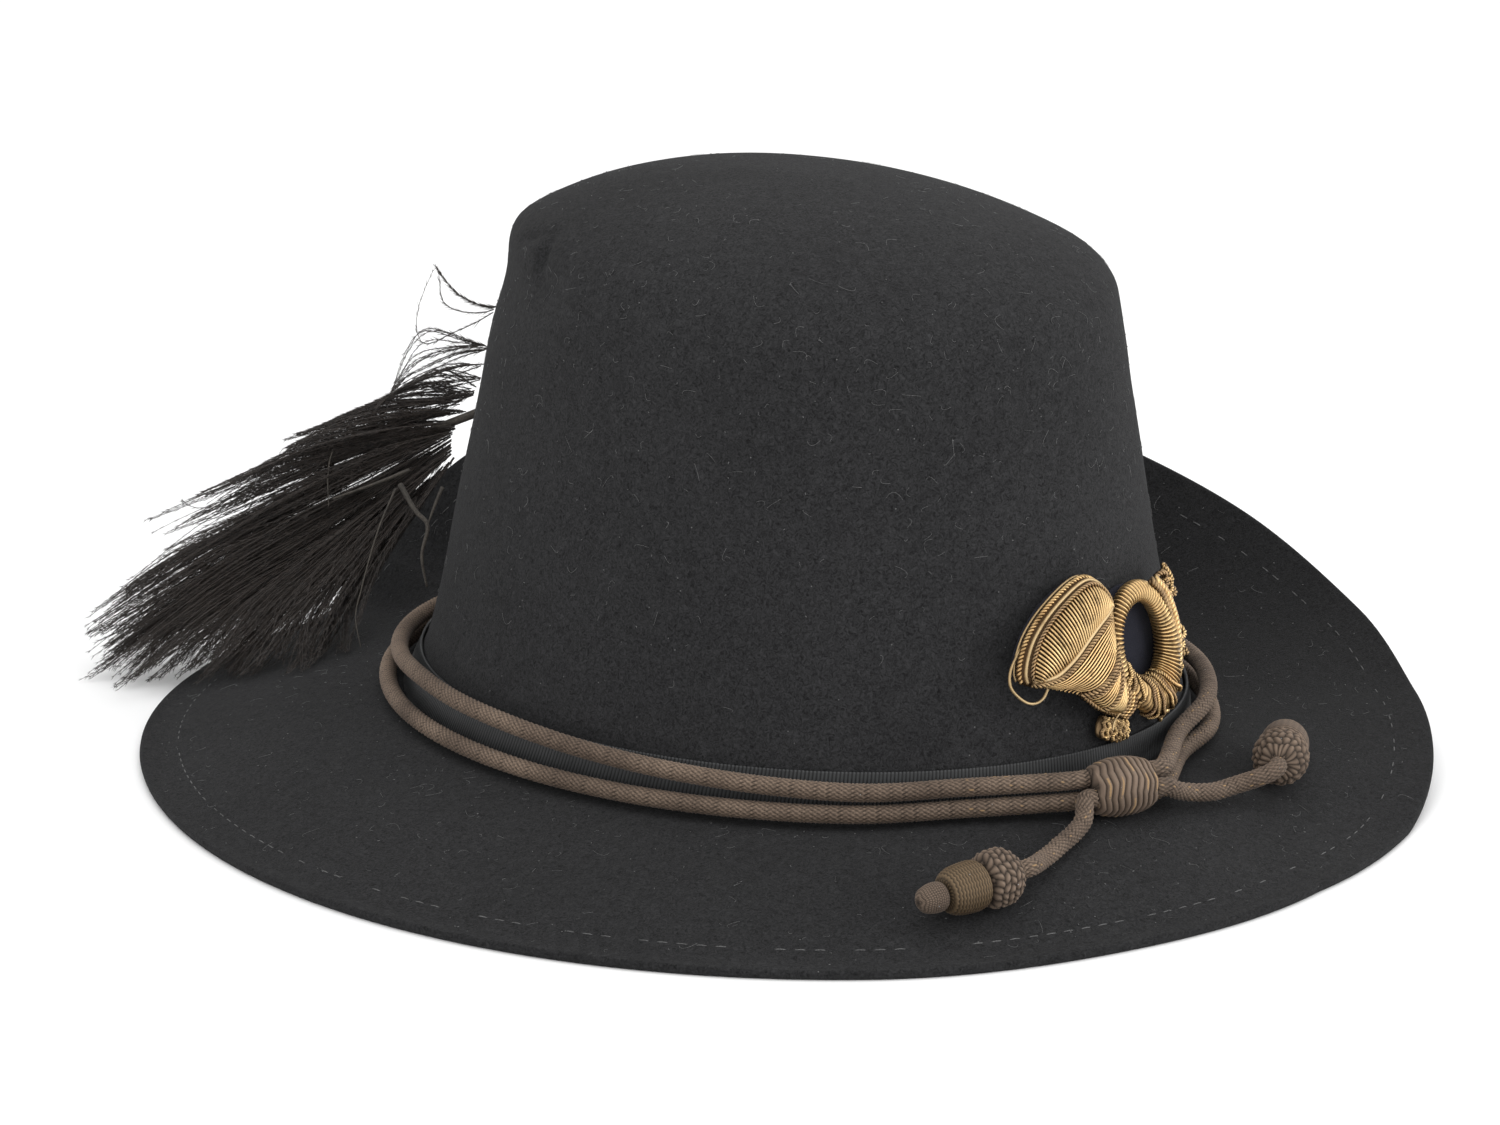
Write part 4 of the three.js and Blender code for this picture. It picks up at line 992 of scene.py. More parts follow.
# Each gold's dark colour for painted shade, its colour on its turns and on its warmer turns, and its
# roughness.
gold, padding_shade, cord_gold, pale_gold = (gold_material(*finish) for finish in (
    ("bullion_wire", (0.06, 0.033, 0.014, 1), (0.86, 0.63, 0.31, 1), (0.66, 0.4, 0.17, 1), 0.34),
    # The padding's gold is nearly black all over: painted shade between the bell's wires.
    ("bullion_shade", (0.06, 0.033, 0.014, 1), (0.07, 0.04, 0.018, 1), (0.055, 0.03, 0.015, 1), 0.6),
    ("tarnished_twist", (0.04, 0.024, 0.014, 1), (0.52, 0.36, 0.17, 1), (0.34, 0.21, 0.12, 1), 0.45),
    ("pale_flat_wire", (0.3, 0.2, 0.1, 1), (0.62, 0.47, 0.27, 1), (0.52, 0.38, 0.2, 1), 0.55),
))
velvet = cloth_material(
    "blue_black_velvet", (0.007, 0.0075, 0.012, 1), (0.016, 0.0165, 0.024, 1), grey(0.2), 0.9, 6000.0, 0.03
)
print("made", gold.name, padding_shade.name, cord_gold.name, pale_gold.name, velvet.name)

# %% [markdown]
# Every wire is a thin tube along a line of badge places. Wires that are wound round each other make a
# twisted cord, as they do along the edges of the real badge.

# %% Wires and twisted cords
def closed_line(places, count):
    """A smooth closed line through places, as evenly spaced points."""
    places = np.asarray(places, float)
    line, along = smooth_path(np.concatenate([places[-3:], places, places[:4]]), 0.2)
    away, half = np.linalg.norm(line - places[0], axis=1), len(line) // 2
    first, last = np.argmin(away[:half]), half + np.argmin(away[half:])
    kept, lengths = line[first:last], along[first:last]
    even = np.linspace(lengths[0], lengths[-1], count, endpoint=False)
    return np.stack([np.interp(even, lengths, kept[:, i]) for i in range(places.shape[1])], -1)


def wire(name, paths, radius, material, sides=6):
    """Wires along paths of badge places, with painted shade on the side of each that faces the crown."""
    lines = badge_point(np.asarray(paths, float))
    spokes = tube_points(lines, 1.0, sides, ahead=(0.0, -1.0, 0.0)) - lines[..., None, :]
    # Painted shade: the turn mark falls to 0 on the side of each wire that faces the crown.
    mark = np.clip(0.1 - spokes[..., 1], 0, 1) ** 0.8
    faces = tube_faces(*lines.shape[:2], sides)
    skin = lines[..., None, :] + spokes * radius
    return piece(name, skin, *faces, material, "bullion", marks={"turn": mark})


twist_strands, twist_step = 2, 0.22


def twisted(name, places, radius, pitch, material):
    """A cord of a few wires twisted round each other along badge places."""
    line, along = smooth_path(places, twist_step)
    forward = unit(np.gradient(line, axis=0))
    side = unit(np.cross(forward, [0.0, 0.0, 1.0]))
    over = np.cross(forward, side)
    order = np.arange(twist_strands)[:, None] / twist_strands
    phase = 2 * np.pi * (along[None, :] / pitch + order)
    paths = line + 0.55 * radius * (side * np.cos(phase)[..., None] + over * np.sin(phase)[..., None])
    return wire(name, paths, 0.55 * radius, material)


# %% [markdown]
# The bell is padded, so its wires ride over a swelling surface. A soft pad gives that surface, with
# the same outline as the CAD solid, and a function gives its height at any place so that every wire
# can be laid on it.

# %% Backing and the bell's padding
def outline(*places):
    """An outline's places, given as shares of the badge's width and height."""
    return np.array(places) * [badge_width, badge_height]


bell_outline = outline(
    (-0.65, -0.06), (-0.61, 0.14), (-0.467, 0.333), (-0.267, 0.44), (-0.18, 0.33), (-0.18, 0.05),
    (-0.183, -0.35), (-0.29, -0.315), (-0.4, -0.17), (-0.55, -0.115),
)
backing_outline = outline(
    (-0.63, -0.05), (-0.59, 0.12), (-0.46, 0.31), (-0.27, 0.41), (-0.13, 0.28), (0.03, 0.29), (0.17, 0.2),
    (0.22, -0.02), (0.17, -0.28), (0.02, -0.41), (-0.15, -0.35), (-0.29, -0.29), (-0.4, -0.145),
    (-0.55, -0.095),
)
tassel_outline = outline(
    (-0.238, -0.39), (-0.273, -0.49), (-0.205, -0.545), (-0.133, -0.558), (-0.094, -0.475), (-0.165, -0.43),
)


def pad(name, outline, bottom, depth, layers, material, slot, nodes, count=120):
    """A padded form from an outline: each layer is a scale about the middle and a share of the depth."""
    rim = closed_line(outline, count)
    middle = rim.mean(0)
    rings = []
    for scale, share in layers:
        height = np.full((count, 1), bottom + depth * share)
        rings.append(np.concatenate([middle + (rim - middle) * scale, height], 1))
    poles = [np.array([*middle, bottom]), np.array([*middle, bottom + depth * layers[-1][1]])]
    points, quads, caps = closed_skin(badge_point(np.array(rings)), *badge_point(np.array(poles)))
    # For a gold pad, the turn mark of 0.35 gives mostly the gold's dark colour: painted shade under the
    # wires.
    return piece(name, points, quads, caps, material, slot, nodes, {"turn": np.full(len(points), 0.35)})


flat_layers = [(0.5, 0), (1, 0), (1, 0.7), (0.985, 1), (0.5, 1)]
padded_layers = [
    (0.86, 0), (1, 0.22), (1, 0.45), (0.96, 0.66), (0.86, 0.8), (0.7, 0.88), (0.5, 0.92), (0.25, 0.93),
]
pad("velvet_backing", backing_outline, 0, backing_thickness, flat_layers, velvet, "velvet", ["badge_backing"])
# The bell's padding takes the nearly black gold: painted shade between its wires.
pad("bell_padding", bell_outline, horn_bottom, bell_depth, padded_layers, padding_shade, "bullion",
    ["horn_bell"])
pad("tassel_padding", tassel_outline, gap, tassel_depth, padded_layers, cord_gold, "bullion",
    ["horn_tassel"], 60)
bell_rim = closed_line(bell_outline, 240)
bell_middle = bell_rim.mean(0)


def on_bell(places, above=0.0):
    """Across and high places with the padding's height there, plus some more."""
    places = np.asarray(places, float)
    away = places - bell_middle
    rim_away = bell_rim - bell_middle
    turn, rim_turn = np.arctan2(away[..., 1], away[..., 0]), np.arctan2(rim_away[:, 1], rim_away[:, 0])
    order, rim_reach = np.argsort(rim_turn), np.linalg.norm(rim_away, axis=1)
    edge = np.interp(turn, rim_turn[order], rim_reach[order], period=2 * np.pi)
    scale = np.linalg.norm(away, axis=-1) / edge
    scales, shares = zip(*sorted(padded_layers[2:]))
    out = horn_bottom + bell_depth * np.interp(scale, scales, shares)
    return np.concatenate([places, (out + above)[..., None]], -1)


def between(first, second, count, steps, bulge=0.0):
    """Lines across from one curve to another: count lines of some steps, bowed outwards by a bulge."""
    ends = []
    for curve in (first, second):
        line, along = smooth_path(np.asarray(curve, float), 0.1)
        even = np.linspace(0, along[-1], count)
        ends.append(np.stack([np.interp(even, along, line[:, i]) for i in range(2)], -1))
    share = np.linspace(0, 1, steps)[None, :, None]
    lines = ends[0][:, None] * (1 - share) + ends[1][:, None] * share
    placed = on_bell(lines, 0.25)
    placed[..., 2] += bulge * np.sin(np.pi * share[..., 0])
    return placed


# %% [markdown]
# The mouth is crossed by about forty close turns, the body by wires that follow the seam, and twisted
# cords hide where they end. Each run is described by the two lines that its wires stretch between.

# %% Wires of the bell
mouth_high = (bell_middle + (bell_rim[2:104:8] - bell_middle) * 0.92).tolist()
mouth_low = [
    (-36.6, -2.2), (-33.7, -1.4), (-29.9, 0.4), (-26.0, 2.2), (-23.0, 3.9), (-19.9, 5.8), (-15.9, 8.4),
    (-12.6, 10.4),
]
seam = [
    (-11.4, 9.6), (-13.6, 8.6), (-17.6, 6.6), (-21.4, 4.2), (-25.1, 1.6), (-28.6, -0.5), (-32.4, -2.2),
    (-37.5, -2.9),
]
throat = [(-11.4, 2.2), (-12.3, 0.2), (-14.4, -2.6), (-17.6, -5.0), (-21.5, -7.0), (-23.6, -8.0)]
collar = [(-11.2, -2.0), (-12.4, -5.6), (-14.4, -9.0), (-16.6, -11.6), (-17.9, -12.6)]
joint = [(-9.3, -5.5), (-9.5, -9.0), (-10.4, -12.4), (-11.8, -14.6)]
belly = [(-23.6, -7.6), (-21.4, -9.8), (-18.6, -12.0), (-15.4, -13.6), (-12.0, -14.9)]

wire("mouth_turns", between(mouth_high, mouth_low, 38, 9, 0.7), 0.3, gold)
# Runs of wires that go round the horn: between which lines, how many points and wires, bow and radius.
horn_runs = (("body_turns", seam, throat, 16, 13, 0.0, 0.27), ("neck_turns", throat, collar, 12, 9, 0.0, 0.3),
             ("joint_turns", collar, joint, 12, 9, 0.3, 0.42))
for name, first, second, points, wires, bow, radius in horn_runs:
    wire(name, between(first, second, points, wires, bow).swapaxes(0, 1), radius, gold)


def rim_line(scale, out):
    """The bell's outline round its mouth, from the lip over the top, at a scale and a height."""
    line = bell_middle + (bell_rim[:107] - bell_middle) * scale
    return np.concatenate([line, np.full((len(line), 1), out)], 1)[::4]


# Single pale wires along the edges: a name, a line and a radius.
pale_wires = (
    ("rim_wire_outer", rim_line(1.0, 2.4), 0.3), ("rim_band", rim_line(0.985, 5.6), 0.45),
    ("seam_band", on_bell([(x - 0.7, y + 0.8) for x, y in seam], 0.35), 0.55),
)
for name, line, radius in pale_wires:
    wire(name, smooth_path(line, 0.4)[0][None], radius, pale_gold, 8)
# Twisted cords along the bell's edges: a name, a line, a radius and a finish.
bell_twists = [
    ("rim_twist_outer", rim_line(1.0, 3.9), 0.7, gold),
    ("rim_twist_inner", rim_line(0.945, 6.7), 0.5, cord_gold),
    ("lower_twist", on_bell([(-38.3, -2.6), *seam[:0:-1]], 0.7), 0.65, cord_gold),
    ("throat_twist", on_bell(throat, 0.6), 0.75, cord_gold),
    ("throat_twist_low", on_bell([(x + 1.2, y - 0.8) for x, y in throat], 0.5), 0.6, cord_gold),
    ("collar_twist", on_bell(collar, 0.5), 0.7, cord_gold),
    ("belly_twist", on_bell(belly, 0.3), 0.7, cord_gold),
]
for index in range(4):
    reach = 1.15 * index
    wrap = [(-9.7 + reach, -4.6 - 1.3 * index, 3.6), (-9.5 + reach, -8.6 - 0.8 * index, 5.6),
            (-10.0 + 0.9 * reach, -12.4 - 0.5 * index, 5.4), (-11.4 + 0.9 * reach, -15.6 - 0.4 * index, 3.4)]
    bell_twists.append((f"joint_wrap_{index}", wrap, 0.75, cord_gold if index % 2 else gold))
for name, line, radius, finish in bell_twists:
    twisted(name, line, radius, 1.9, finish)
# A thin loop of wire that has sprung off the bell's lip.
loop_line = [
    (-28.2, 10.1, 3.2), (-31.4, 8.6, 3), (-34.5, 6.7, 2.8), (-37.9, 3.2, 2.6), (-40.2, -0.4, 2.4),
    (-40.6, -3.4, 2.4), (-39.2, -5.8, 2.4), (-36.6, -7.9, 2.4), (-34.4, -8.2, 2.6), (-32.6, -7.2, 3.0),
    (-31.6, -5.2, 3.6), (-31.4, -3.8, 4.4),
]
wire("wire_loop", smooth_path(loop_line, 0.4)[0][None], 0.36, pale_gold, 8)

# %% [markdown]
# The horn's tube is coiled once and wound with wire along its whole length, thin at the top and thick
# below. Nine rough wraps of crinkled bullion cross its underside, from the bell's joint round.

# %% Coil of the horn
coil_middle = np.array([0.024 * badge_width, -0.0375 * badge_height])
coil_half = np.array([0.161 * badge_width, 0.3025 * badge_height])
coil_sections = table(
    "angle half",
    (0, 0.5), (90, 0.36), (150, 0.3), (200, 0.3), (240, 0.5), (270, 0.66), (310, 0.64), (360, 0.5),
)
coil_half_thick = smooth_curve(coil_sections, "angle", "half")
coil_turns, coil_steps_per_turn, coil_sides = 72, 8, 16


def on_coil(angle, spin, above=0.0):
    """Across, high and out of places on the coiled tube, round the coil and round the tube."""
    angle, spin = np.broadcast_arrays(np.asarray(angle, float), np.asarray(spin, float))
    thick = coil_thickness * coil_half_thick(angle % 360)
    deep = np.minimum(thick, coil_thickness / 2)
    away = (thick + above) * np.cos(np.radians(spin))
    ways = np.stack([np.cos(np.radians(angle)), np.sin(np.radians(angle))], -1)
    flat = coil_middle + (coil_half + away[..., None]) * ways
    out = horn_bottom + deep + (deep + above) * np.sin(np.radians(spin))
    return np.concatenate([flat, out[..., None]], -1)


angle = 360 * np.arange(coil_turns * coil_steps_per_turn)[:, None] / (coil_turns * coil_steps_per_turn)
spin = 360 * np.arange(coil_sides)[None, :] / coil_sides
wound = 0.5 + 0.5 * np.cos(2 * np.pi * (angle * coil_turns / 360 + spin / 360))
coil_skin = badge_point(on_coil(angle, spin, -0.5 * (1 - wound)))
coil_faces = grid_faces(*coil_skin.shape[:2], wrap_rings=True)
# The wound mark is the turn mark here, so the grooves between the turns get painted shade.
piece("coil_turns", coil_skin, coil_faces, [], gold, "bullion", ["horn_coil"], {"turn": wound})
# Each wrap's angle round the coil, and how far it is raised.
wraps = (
    (206, 0.0), (213, 0.1), (226, 0.0), (243, 0.15), (250, 0.2), (262, 0.1), (280, 0.15), (287, 0.1),
    (303, 0.0),
)
for index, (angle, raised) in enumerate(wraps):
    spin = np.linspace(-20, 200, 9)
    lean = angle + 9 * np.cos(np.radians(spin))
    wave = 1.6 * np.sin(np.radians(spin) * 5 + index)
    line = on_coil(lean + wave, spin, 0.3 + raised)
    twisted(f"crinkled_wrap_{index}", line, 0.5, 1.1, cord_gold if index % 2 else gold)

# %% [markdown]
# Two twisted cords run down the coil's outer side with small knots and loops beside them. A short
# tassel of curly bullion hangs below, and loose threads show that the badge was sewn on by hand.

# %% Side cord, tassel and threads
side_line = [
    (7.6, 12.4, 6.0), (10.4, 9.0, 6.6), (12.6, 2.8, 6.8), (13.2, -2.0, 6.6), (13.3, -4.8, 6.2),
    (13.2, -8.6, 5.6), (12.0, -12.4, 4.6), (9.9, -16.0, 4.0), (7.4, -19.0, 3.2),
]
twisted("side_twist", side_line, 1.25, 2.2, gold)
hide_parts("horn_side_cord")
inner_line = [(x - 1.7, y + 0.3, out + 0.2) for x, y, out in side_line[:7]]
twisted("side_twist_inner", inner_line, 0.9, 1.8, cord_gold)
# Small knots and loops beside it: across, high, half width, half height and how far out.
knots = (
    (12.6, 11.0, 1.9, 1.7, 4.8), (14.6, 9.0, 2.2, 1.5, 4.6), (16.6, 11.2, 1.2, 2.0, 4.2),
    (17.6, 7.4, 1.4, 1.3, 4.0), (19.2, -3.2, 2.4, 1.3, 3.6), (18.0, -5.6, 2.6, 1.1, 3.4),
    (20.6, -8.0, 1.3, 1.2, 3.2), (17.3, -11.6, 1.2, 1.6, 3.2), (7.2, -19.6, 1.7, 1.6, 2.4),
    (8.4, -17.6, 1.5, 2.0, 2.6),
)
for index, (across, high, wide, tall, out) in enumerate(knots):
    turn = np.radians(np.linspace(0, 400, 16) + 50 * index)
    out = out + 0.8 * np.sin(1.5 * turn)
    ring = np.stack([across + wide * np.cos(turn), high + tall * np.sin(turn), out], -1)
    twisted(f"small_knot_{index}", ring, 0.62, 1.6, gold if index % 3 else cord_gold)
curls = 10
for index in range(curls):
    side = index / (curls - 1)
    top = np.array([-13.9 + 7.0 * side, -15.6 - 2.4 * side])
    low = np.array([-15.9 + 8.6 * side, -20.0 - 1.8 * side - 0.9 * np.sin(np.pi * side)])
    share = np.linspace(0, 1, 10)
    line = top + (low - top) * share[:, None]
    curl = np.stack([0.35 * np.sin(14 * share + 2 * index), 0.2 * np.cos(17 * share + 2 * index)], -1)
    out = 1.9 + 1.1 * np.sin(np.pi * share) * np.sin(np.pi * (0.1 + 0.8 * side)) + 0.25 * (index % 2)
    curly = np.concatenate([line + curl, out[:, None]], -1)
    twisted(f"tassel_curl_{index}", curly, 0.6, 0.9, gold if index % 2 else cord_gold)
stray = smooth_path([(-12.7, -14.4, 5.6), (-14.3, -16.3, 5.0), (-15.4, -17.9, 5.2)], 0.3)[0]
wire("stray_thread", stray[None], 0.24, pale_gold)

# %% [markdown]
# Two ends of waxed black thread run loose from behind the badge over the crown. Their shiny black is
# worn thin in small patches, as lacquer is too, so one function makes both finishes.

# %% Loose threads
def glossy_black(name, roughness, patch_scale):
    """A shiny black, such as waxed thread or lacquer, that is worn thin in small patches."""
    material, tree, shader = new_material(name, roughness)
    worn_thin = grouped(tree, patches, patch_scale, 2.0)[0]
    finished(tree, shader, mixed(tree, worn_thin, grey(0.005), grey(0.02)), worn_thin, 0.2, 0.0001)
    return material


black_thread = glossy_black("black_thread", 0.3, 900.0)
# Two threads that run from behind the badge over the crown: turn, height and how far out.
loose_ends = (
    [(17, 37.5, 1.5), (20, 38, 2.5), (24, 36.5, 0.8), (29, 34, 0.5), (34, 30.5, 0.6), (37, 28, 1.2)],
    [(17, 36, 1.2), (21, 33, 0.6), (26, 32, 0.5), (25, 35, 0.6), (19, 37, 1.0)],
)
for index, ends in enumerate(loose_ends):
    turn, height, out = np.array(ends, float).T
    line, _ = smooth_path(beside_crown(turn, height, out[:, None]), 0.4)
    tubes(f"loose_thread_{index}", line[None], 0.2, 6, black_thread, "bullion")

# %% [markdown]
# An ostrich plume is a quill with long soft barbs, and each barb carries fine barbules that make it
# fuzzy. Barbs flow side by side, so the plume is combed like hair: a few guide curves lie in the plane
# of the plume, which is almost square to the photograph's view, and every barb follows a blend of two
# neighbouring guides over part of their length. Lower guides come nearer, where barbs drape on the brim.

# %% Plume
plume_reach, plume_rise, quill_diameter = 98.0, 58.0, 3.2
quill_sections = table(
    "turn reach rise",
    (154, 0.0, 0.92), (163, 0.12, 0.93), (171, 0.28, 0.79), (182, 0.49, 0.56), (191, 0.73, 0.25),
)
quill_seat_turn, quill_seat_rise = 146, 0.78
plume_root = np.array([18.1, 128.1, 44.7])
# Guides from the top down: pairs of left and down from the plume's root, in millimetres.
plume_guides = np.array([
    [(-12, -32), (-9, -30), (-4, -31), (1, -34), (4, -38), (6.5, -42)],
    [(-9, -22), (-3, -24), (4, -27), (9, -29), (12, -30), (14, -32)],
    [(-8, -20), (-1, -20), (5, -19), (11, -16), (16, -10), (18, -4)],
    [(-7, -15), (2, -15), (9, -12), (16, -8), (21, -4), (23, -1)],
    [(-4, -8), (6, -7), (18, -6), (28, -3), (37, 1), (45, 4)],
    [(-3, -3), (7, -3), (16, -1), (25, 0), (34, 2), (44, 7)],
    [(1, 1), (16, 3), (31, 6), (46, 10), (62, 18), (80, 25)],
    [(1, 2), (19, 7), (37, 14), (55, 23), (73, 33), (96, 49)],
    [(2, 3), (22, 14), (40, 23), (58, 33), (76, 44), (96, 56)],
    [(2, 5), (23, 19), (42, 30), (59, 40), (75, 51), (94, 66)],
    [(2, 6), (24, 23), (41, 35), (55, 44), (68, 53), (84, 68)],
    [(2, 7), (23, 24), (36, 36), (48, 45), (56, 54), (66, 65)],
    [(2, 8), (20, 23), (30, 35), (39, 45), (48, 56), (56, 67)],
    [(2, 9), (15, 23), (23, 34), (29, 44), (34, 55), (36, 67)],
    [(1, 9), (9, 21), (16, 31), (21, 41), (23, 49), (23, 58)],
])
# For each space between two guides: how many clumps of barbs, the latest share of the guides that they
# start from, their shortest and longest lengths as shares of the guides, how near they end to the
# camera in millimetres, and how far the barbs of a clump spread, as a share of the space.
barb_groups = table(
    "clumps latest shortest longest near spread",
    (1, 0.2, 0.6, 0.9, 4, 0.5), (1, 0.2, 0.6, 0.9, 4, 0.5), (2, 0.1, 0.8, 1.0, 4, 0.5),
    (3, 0.2, 0.6, 1.0, 4, 0.45), (8, 0.25, 0.6, 1.0, 5, 0.35),
    (15, 0.3, 0.6, 1.0, 8, 0.25), (24, 0.3, 0.35, 0.6, 12, 0.16),
    (30, 0.5, 0.5, 0.9, 16, 0.13), (32, 0.5, 0.55, 1.0, 19, 0.13),
    (30, 0.5, 0.5, 1.0, 23, 0.13), (30, 0.45, 0.5, 1.0, 30, 0.17),
    (34, 0.45, 0.55, 1.0, 38, 0.22), (28, 0.4, 0.5, 1.0, 43, 0.25),
    (12, 0.3, 0.6, 1.0, 38, 0.25),
)
barb_steps, barbs_in_clump = 13, 6
barb_radius, barbule_width, barbule_length, barbules_per_step = 0.2, 0.2, 3.6, 8
print("the plume has", int(barb_groups["clumps"].sum()) * barbs_in_clump, "barbs")

# %% [markdown]
# Barbs grow in clumps. Those of one clump share a start, a length and a bend, and each adds a little
# of its own. Where a barb would sink into the brim, it is lifted to lie on it.

# %% Paths of the quill and the barbs
def quill_points():
    """Places of the quill: from its seat beside the crown, out over the brim."""
    seat_out = gap + quill_diameter * 0.55
    seat = beside_crown(np.array(float(quill_seat_turn)), np.array(plume_rise * quill_seat_rise), seat_out)
    point, outward = foot(quill_sections["turn"])
    rest = point + outward * (plume_reach * quill_sections["reach"])[:, None]
    rest[:, 2] = plume_rise * quill_sections["rise"]
    return np.concatenate([seat[None], rest])


def clear_of_felt(places, clearance):
    """Places moved up where needed to lie clear above the brim."""
    plan = places * [1, 1, 0]
    on_foot = plan.copy()
    for _ in range(4):
        turn = np.degrees(np.arctan2(on_foot[..., 0] / half_width, -on_foot[..., 1] / half_length))
        point, outward = foot(turn)
        out = np.sum((plan - point) * outward, -1)
        on_foot = plan - outward * out[..., None]
    share = out / (brim_width * brim_reach(turn % 360))
    lowest = brim_point(turn, np.clip(share, 0, 1))[..., 2] + clearance
    lowest = np.where((share > 0) & (share < 1.02), lowest, floor_level + clearance)
    lifted = places.copy()
    lifted[..., 2] = np.maximum(places[..., 2], lowest)
    return lifted


def on_guides(row, share):
    """Left and down of the place at a share of the way along the guides, at a row between two."""
    places = np.clip(share, 0, 1.12) * (plume_guides.shape[1] - 1)
    step = np.minimum(places.astype(int), plume_guides.shape[1] - 2)
    part = (places - step)[..., None]
    low = np.clip(row.astype(int), 0, len(plume_guides) - 2)
    side = (row - low)[..., None]
    upper = plume_guides[low, step] * (1 - part) + plume_guides[low, step + 1] * part
    lower = plume_guides[low + 1, step] * (1 - part) + plume_guides[low + 1, step + 1] * part
    return upper * (1 - side) + lower * side


def barb_paths():
    """Centre lines of all the barbs, clump by clump."""
    paths = []
    for index, group in enumerate(zip(*barb_groups.values())):
        clumps, latest, shortest, longest, near, spread = group
        shared = np.repeat(random.random((int(clumps), 6)), barbs_in_clump, axis=0)
        own = random.normal(0, 1, shared.shape)
        share = np.linspace(0, 1, barb_steps)
        start = latest * shared[:, 0] + 0.03 * own[:, 0]
        length = shortest + (longest - shortest) * shared[:, 1] + 0.05 * own[:, 1]
        tip = 0.84 + 0.16 * shared[:, 5] + 0.015 * own[:, 5]
        length = np.minimum(length, tip - start)
        row = index + shared[:, 2:3] + own[:, 2:3] * (0.05 + spread * np.sin(np.pi * share))
        row = row + 0.2 * np.sin(2 * np.pi * (0.9 * share + shared[:, 3:4])) * share
        along = np.maximum(start, 0)[:, None] + length[:, None] * share
        spot = on_guides(np.clip(row, 0, len(plume_guides) - 1.001), along)
        sway = 16 * (shared[:, 4:5] - 0.5) * np.sin(np.pi * (0.15 + 0.6 * share))
        depth = near * np.clip(along, 0, 1.1) ** 1.3 + sway + own[:, 4:5] * 1.2 * share
        flat = plume_root - to_right * spot[..., :1] - to_top * spot[..., 1:]
        paths.append(flat + to_camera * depth[..., None])
    paths = np.concatenate(paths)
    # Each barb is smoothed twice, so that no kink is left where a guide bends.
    for _ in range(2):
        paths[:, 1:-1] = 0.25 * paths[:, :-2] + 0.5 * paths[:, 1:-1] + 0.25 * paths[:, 2:]
    return clear_of_felt(paths, 0.9)

# %% [markdown]
# Barbules are too fine and too many to be tubes, so each is one sliver of three points that leaves
# its barb at a slant. The feather is glossy and black, and has browned with age. The bare quill is
# greyer, and so are a few stray parts that stand in front of the barbs.

# %% Barbules, and the pieces of the plume
def barbule_points(paths):
    """Small slivers that leave both sides of every barb: three points each."""
    along = unit(np.gradient(paths, axis=1))
    side = unit(np.cross(along, to_camera))
    over = np.cross(along, side)
    after = np.concatenate([paths[:, 1:], paths[:, -1:]], axis=1)
    slivers = []
    for _ in range(barbules_per_step):
        step, spin, reach = random.random((3,) + paths.shape[:2])
        base = paths + (after - paths) * step[..., None]
        sine, cosine = np.sin(2 * np.pi * spin)[..., None], np.cos(2 * np.pi * spin)[..., None]
        out = side * cosine + over * (0.6 * sine)
        length = barbule_length * (0.35 + 0.65 * reach) * np.linspace(1, 0.45, paths.shape[1])
        tip = base + (out * 0.38 + along * 0.93) * length[..., None]
        slivers.append(np.stack([base - along * barbule_width, base + along * barbule_width, tip], -2))
    return np.concatenate([sliver.reshape(-1, 3) for sliver in slivers])


def feather_material():
    """Black feather that has browned with age, glossy along its barbs."""
    material, tree, shader = new_material(
        "browned_feather", 0.45, Sheen_Weight=0.03, Sheen_Roughness=0.35, Specular_IOR_Level=0.4
    )
    black, brown = (0.006, 0.005, 0.0046, 1), (0.017, 0.0122, 0.0098, 1)
    age = mixed(tree, grouped(tree, patches, 40.0, 1.8)[0], black, brown)
    strand = grouped(tree, fibres, 900.0)
    finished(tree, shader, mixed(tree, strand[1], age, (0.042, 0.032, 0.026, 1)), strand[0], 0.4, 0.0002)
    return material


feather_black = feather_material()
quill, _ = smooth_path(quill_points(), 1.5)
barbs = barb_paths()
taper = np.linspace(1, 0.35, barb_steps)[None, :]
barbules = clear_of_felt(barbule_points(barbs), 0.5)
quill_grey = cloth_material(
    "bare_quill", grey(0.02), (0.075, 0.066, 0.056, 1), grey(0.2), 0.5, 3000.0, 0.0, 0.0001
)
quill_radius = quill_diameter / 2 * np.linspace(1, 0.35, len(quill))[None, :]
tubes("plume_quill", quill[None], quill_radius, 10, quill_grey, "feather")
# Stray parts that stand in front of the barbs: left, down and nearer than the root, and a radius.
stray_parts = (
    ([(14.3, 16.2, 16), (10.1, 23.2, 19), (7.0, 26.6, 20), (8.3, 34.7, 22), (7.0, 42.8, 22)], 0.75),
    ([(3.4, 17.0, 15), (5.2, 21.5, 17), (7.0, 27.0, 20)], 0.55),
    ([(12.0, 12.5, 14), (19.3, 15.6, 17), (31.3, 20.0, 20)], 0.6),
    ([(15.4, 17.5, 18), (19.3, 27.9, 24), (23.2, 43.6, 32), (24.3, 50.2, 36), (22.7, 58.0, 40)], 0.3),
    ([(28.0, 2.0, 4), (32.5, 8.0, 8), (33.4, 14.0, 10), (33.0, 22.0, 13)], 0.3),
)
for index, (places, radius) in enumerate(stray_parts):
    left, down, near = smooth_path(np.array(places, float), 1.0)[0].T[..., None]
    line = clear_of_felt(plume_root - to_right * left - to_top * down + to_camera * near, 1.0)
    thin = radius * np.linspace(1, 0.4, len(line))[None, :]
    tubes(f"stray_feather_{index}", line[None], thin, 8, quill_grey, "feather")
tubes("plume_barbs", barbs, barb_radius * taper, 3, feather_black, "feather", ["plume"], to_camera)
slivers = np.arange(len(barbules)).reshape(-1, 3)
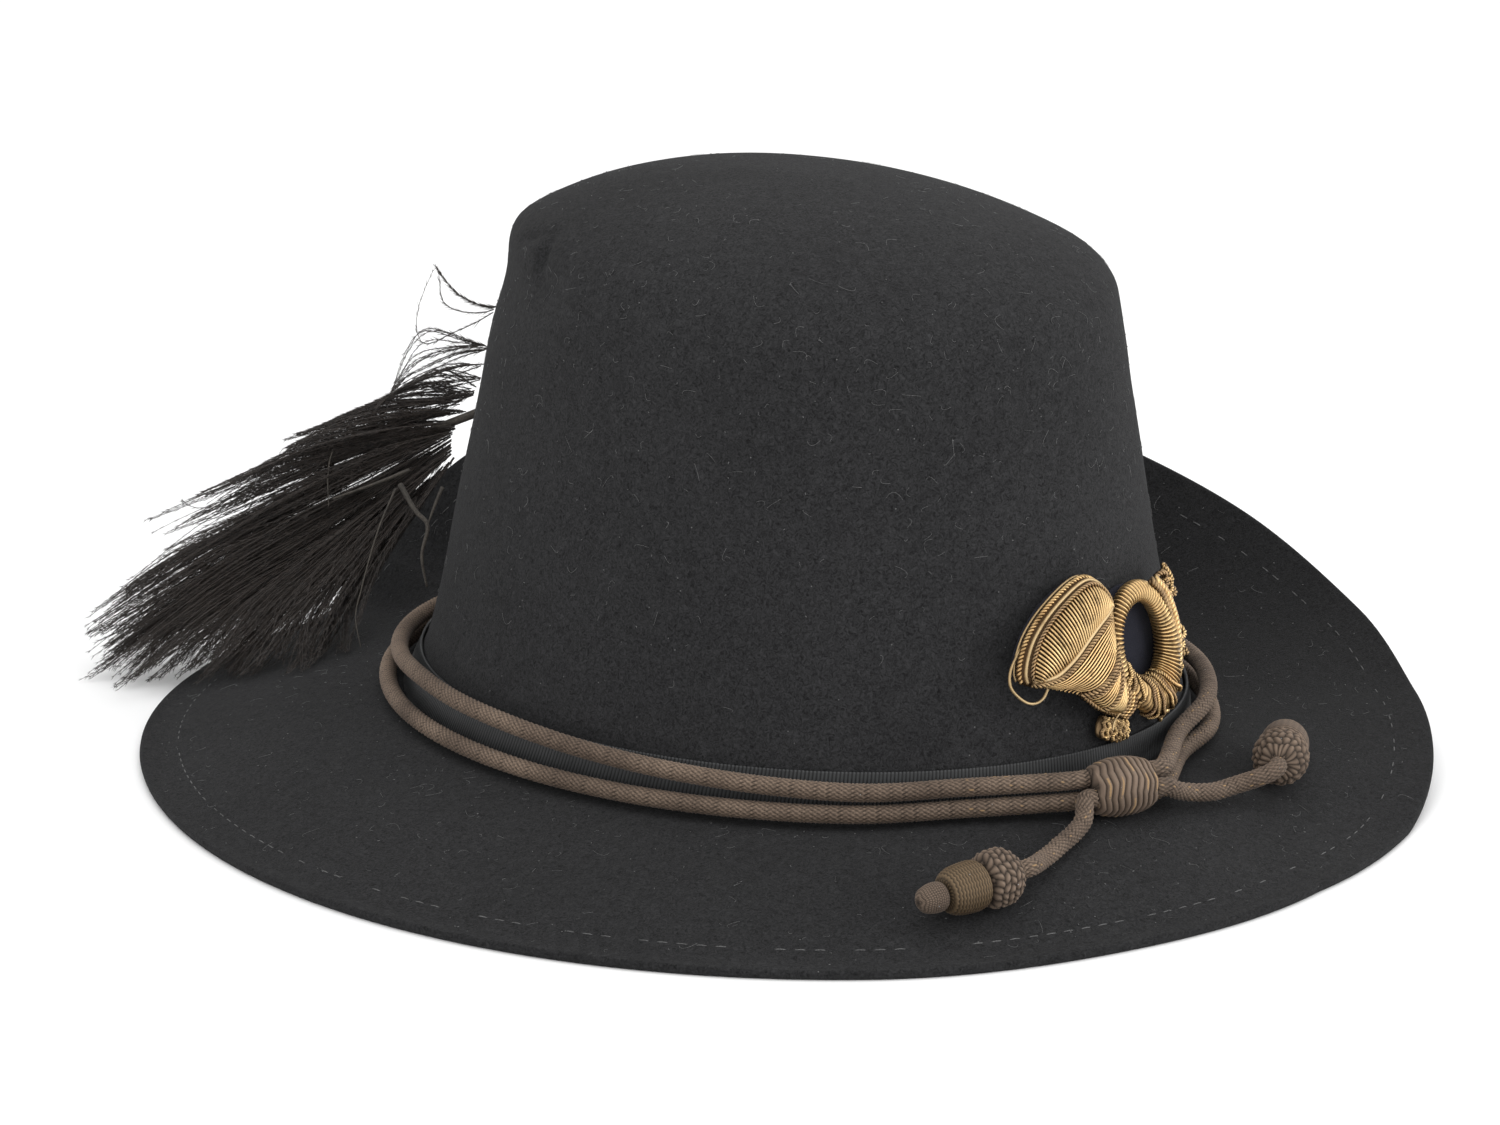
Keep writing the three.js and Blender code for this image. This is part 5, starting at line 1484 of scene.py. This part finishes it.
piece("plume_barbules", barbules, np.zeros((0, 4), int), slivers, feather_black, "feather")

# %% [markdown]
# The hook that holds the looped brim hides between crown and brim. Its CAD solid is already right, so
# it stays, and gets the black baked lacquer that such wire hooks have, worn thin in places.

# %% Brim hook
lacquer, hook_slots = glossy_black("black_lacquer", 0.4, 400.0), bpy.data.objects["brim_hook"].material_slots
for slot in hook_slots:
    slot.material = lacquer
print("hook finish:", [slot.material.name for slot in hook_slots])

# %% [markdown]
# The hat lies on a plain pale floor. Soft light from large lamps overhead and from both sides keeps
# the black felt readable, as a studio would light it.

# %% Floor and light
floor_mesh, reach = bpy.data.meshes.new("floor"), 6.0
corners = [(-reach, -reach, 0), (reach, -reach, 0), (reach, reach, 0), (-reach, reach, 0)]
floor_mesh.from_pydata(corners, [], [(0, 1, 2, 3)])
floor_mesh.materials.append(new_material("pale_floor", 0.95, Base_Color=(0.9, 0.9, 0.9, 1))[0])
floor = bpy.data.objects.new("floor", floor_mesh)
bpy.context.scene.collection.objects.link(floor)


def lamp(name, place, size, watts):
    """A square area lamp that faces the hat's middle."""
    data = bpy.data.lights.new(name, "AREA")
    data.size, data.energy = size, watts
    made = bpy.data.objects.new(name, data)
    made.location = place
    made.rotation_euler = (Vector(place) - Vector((0, 0, 0.05))).to_track_quat("Z", "Y").to_euler()
    bpy.context.scene.collection.objects.link(made)
    print(name, watts, "W")


lamp("overhead_lamp", (-0.2, -0.3, 1.6), 1.6, 8)
lamp("left_lamp", (-1.5, -0.6, 0.7), 1.2, 5)
lamp("right_lamp", (0.7, -1.5, 0.6), 1.2, 13)
world = bpy.data.worlds.new("studio")
world.use_nodes = True
backdrop = world.node_tree.nodes["Background"].inputs
backdrop["Color"].default_value, backdrop["Strength"].default_value = (1, 1, 1, 1), 1.0
bpy.context.scene.world = world
bpy.context.scene.view_settings.view_transform = "Standard"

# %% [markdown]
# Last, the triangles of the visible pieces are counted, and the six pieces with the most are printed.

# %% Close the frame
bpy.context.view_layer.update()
counts = {made.name: sum(len(face.vertices) - 2 for face in made.data.polygons)
          for made in bpy.context.scene.objects if made.type == "MESH" and not made.hide_render}
largest = sorted(counts.items(), key=lambda item: -item[1])[:6]
print("triangles in all:", sum(counts.values()), "most:", largest)
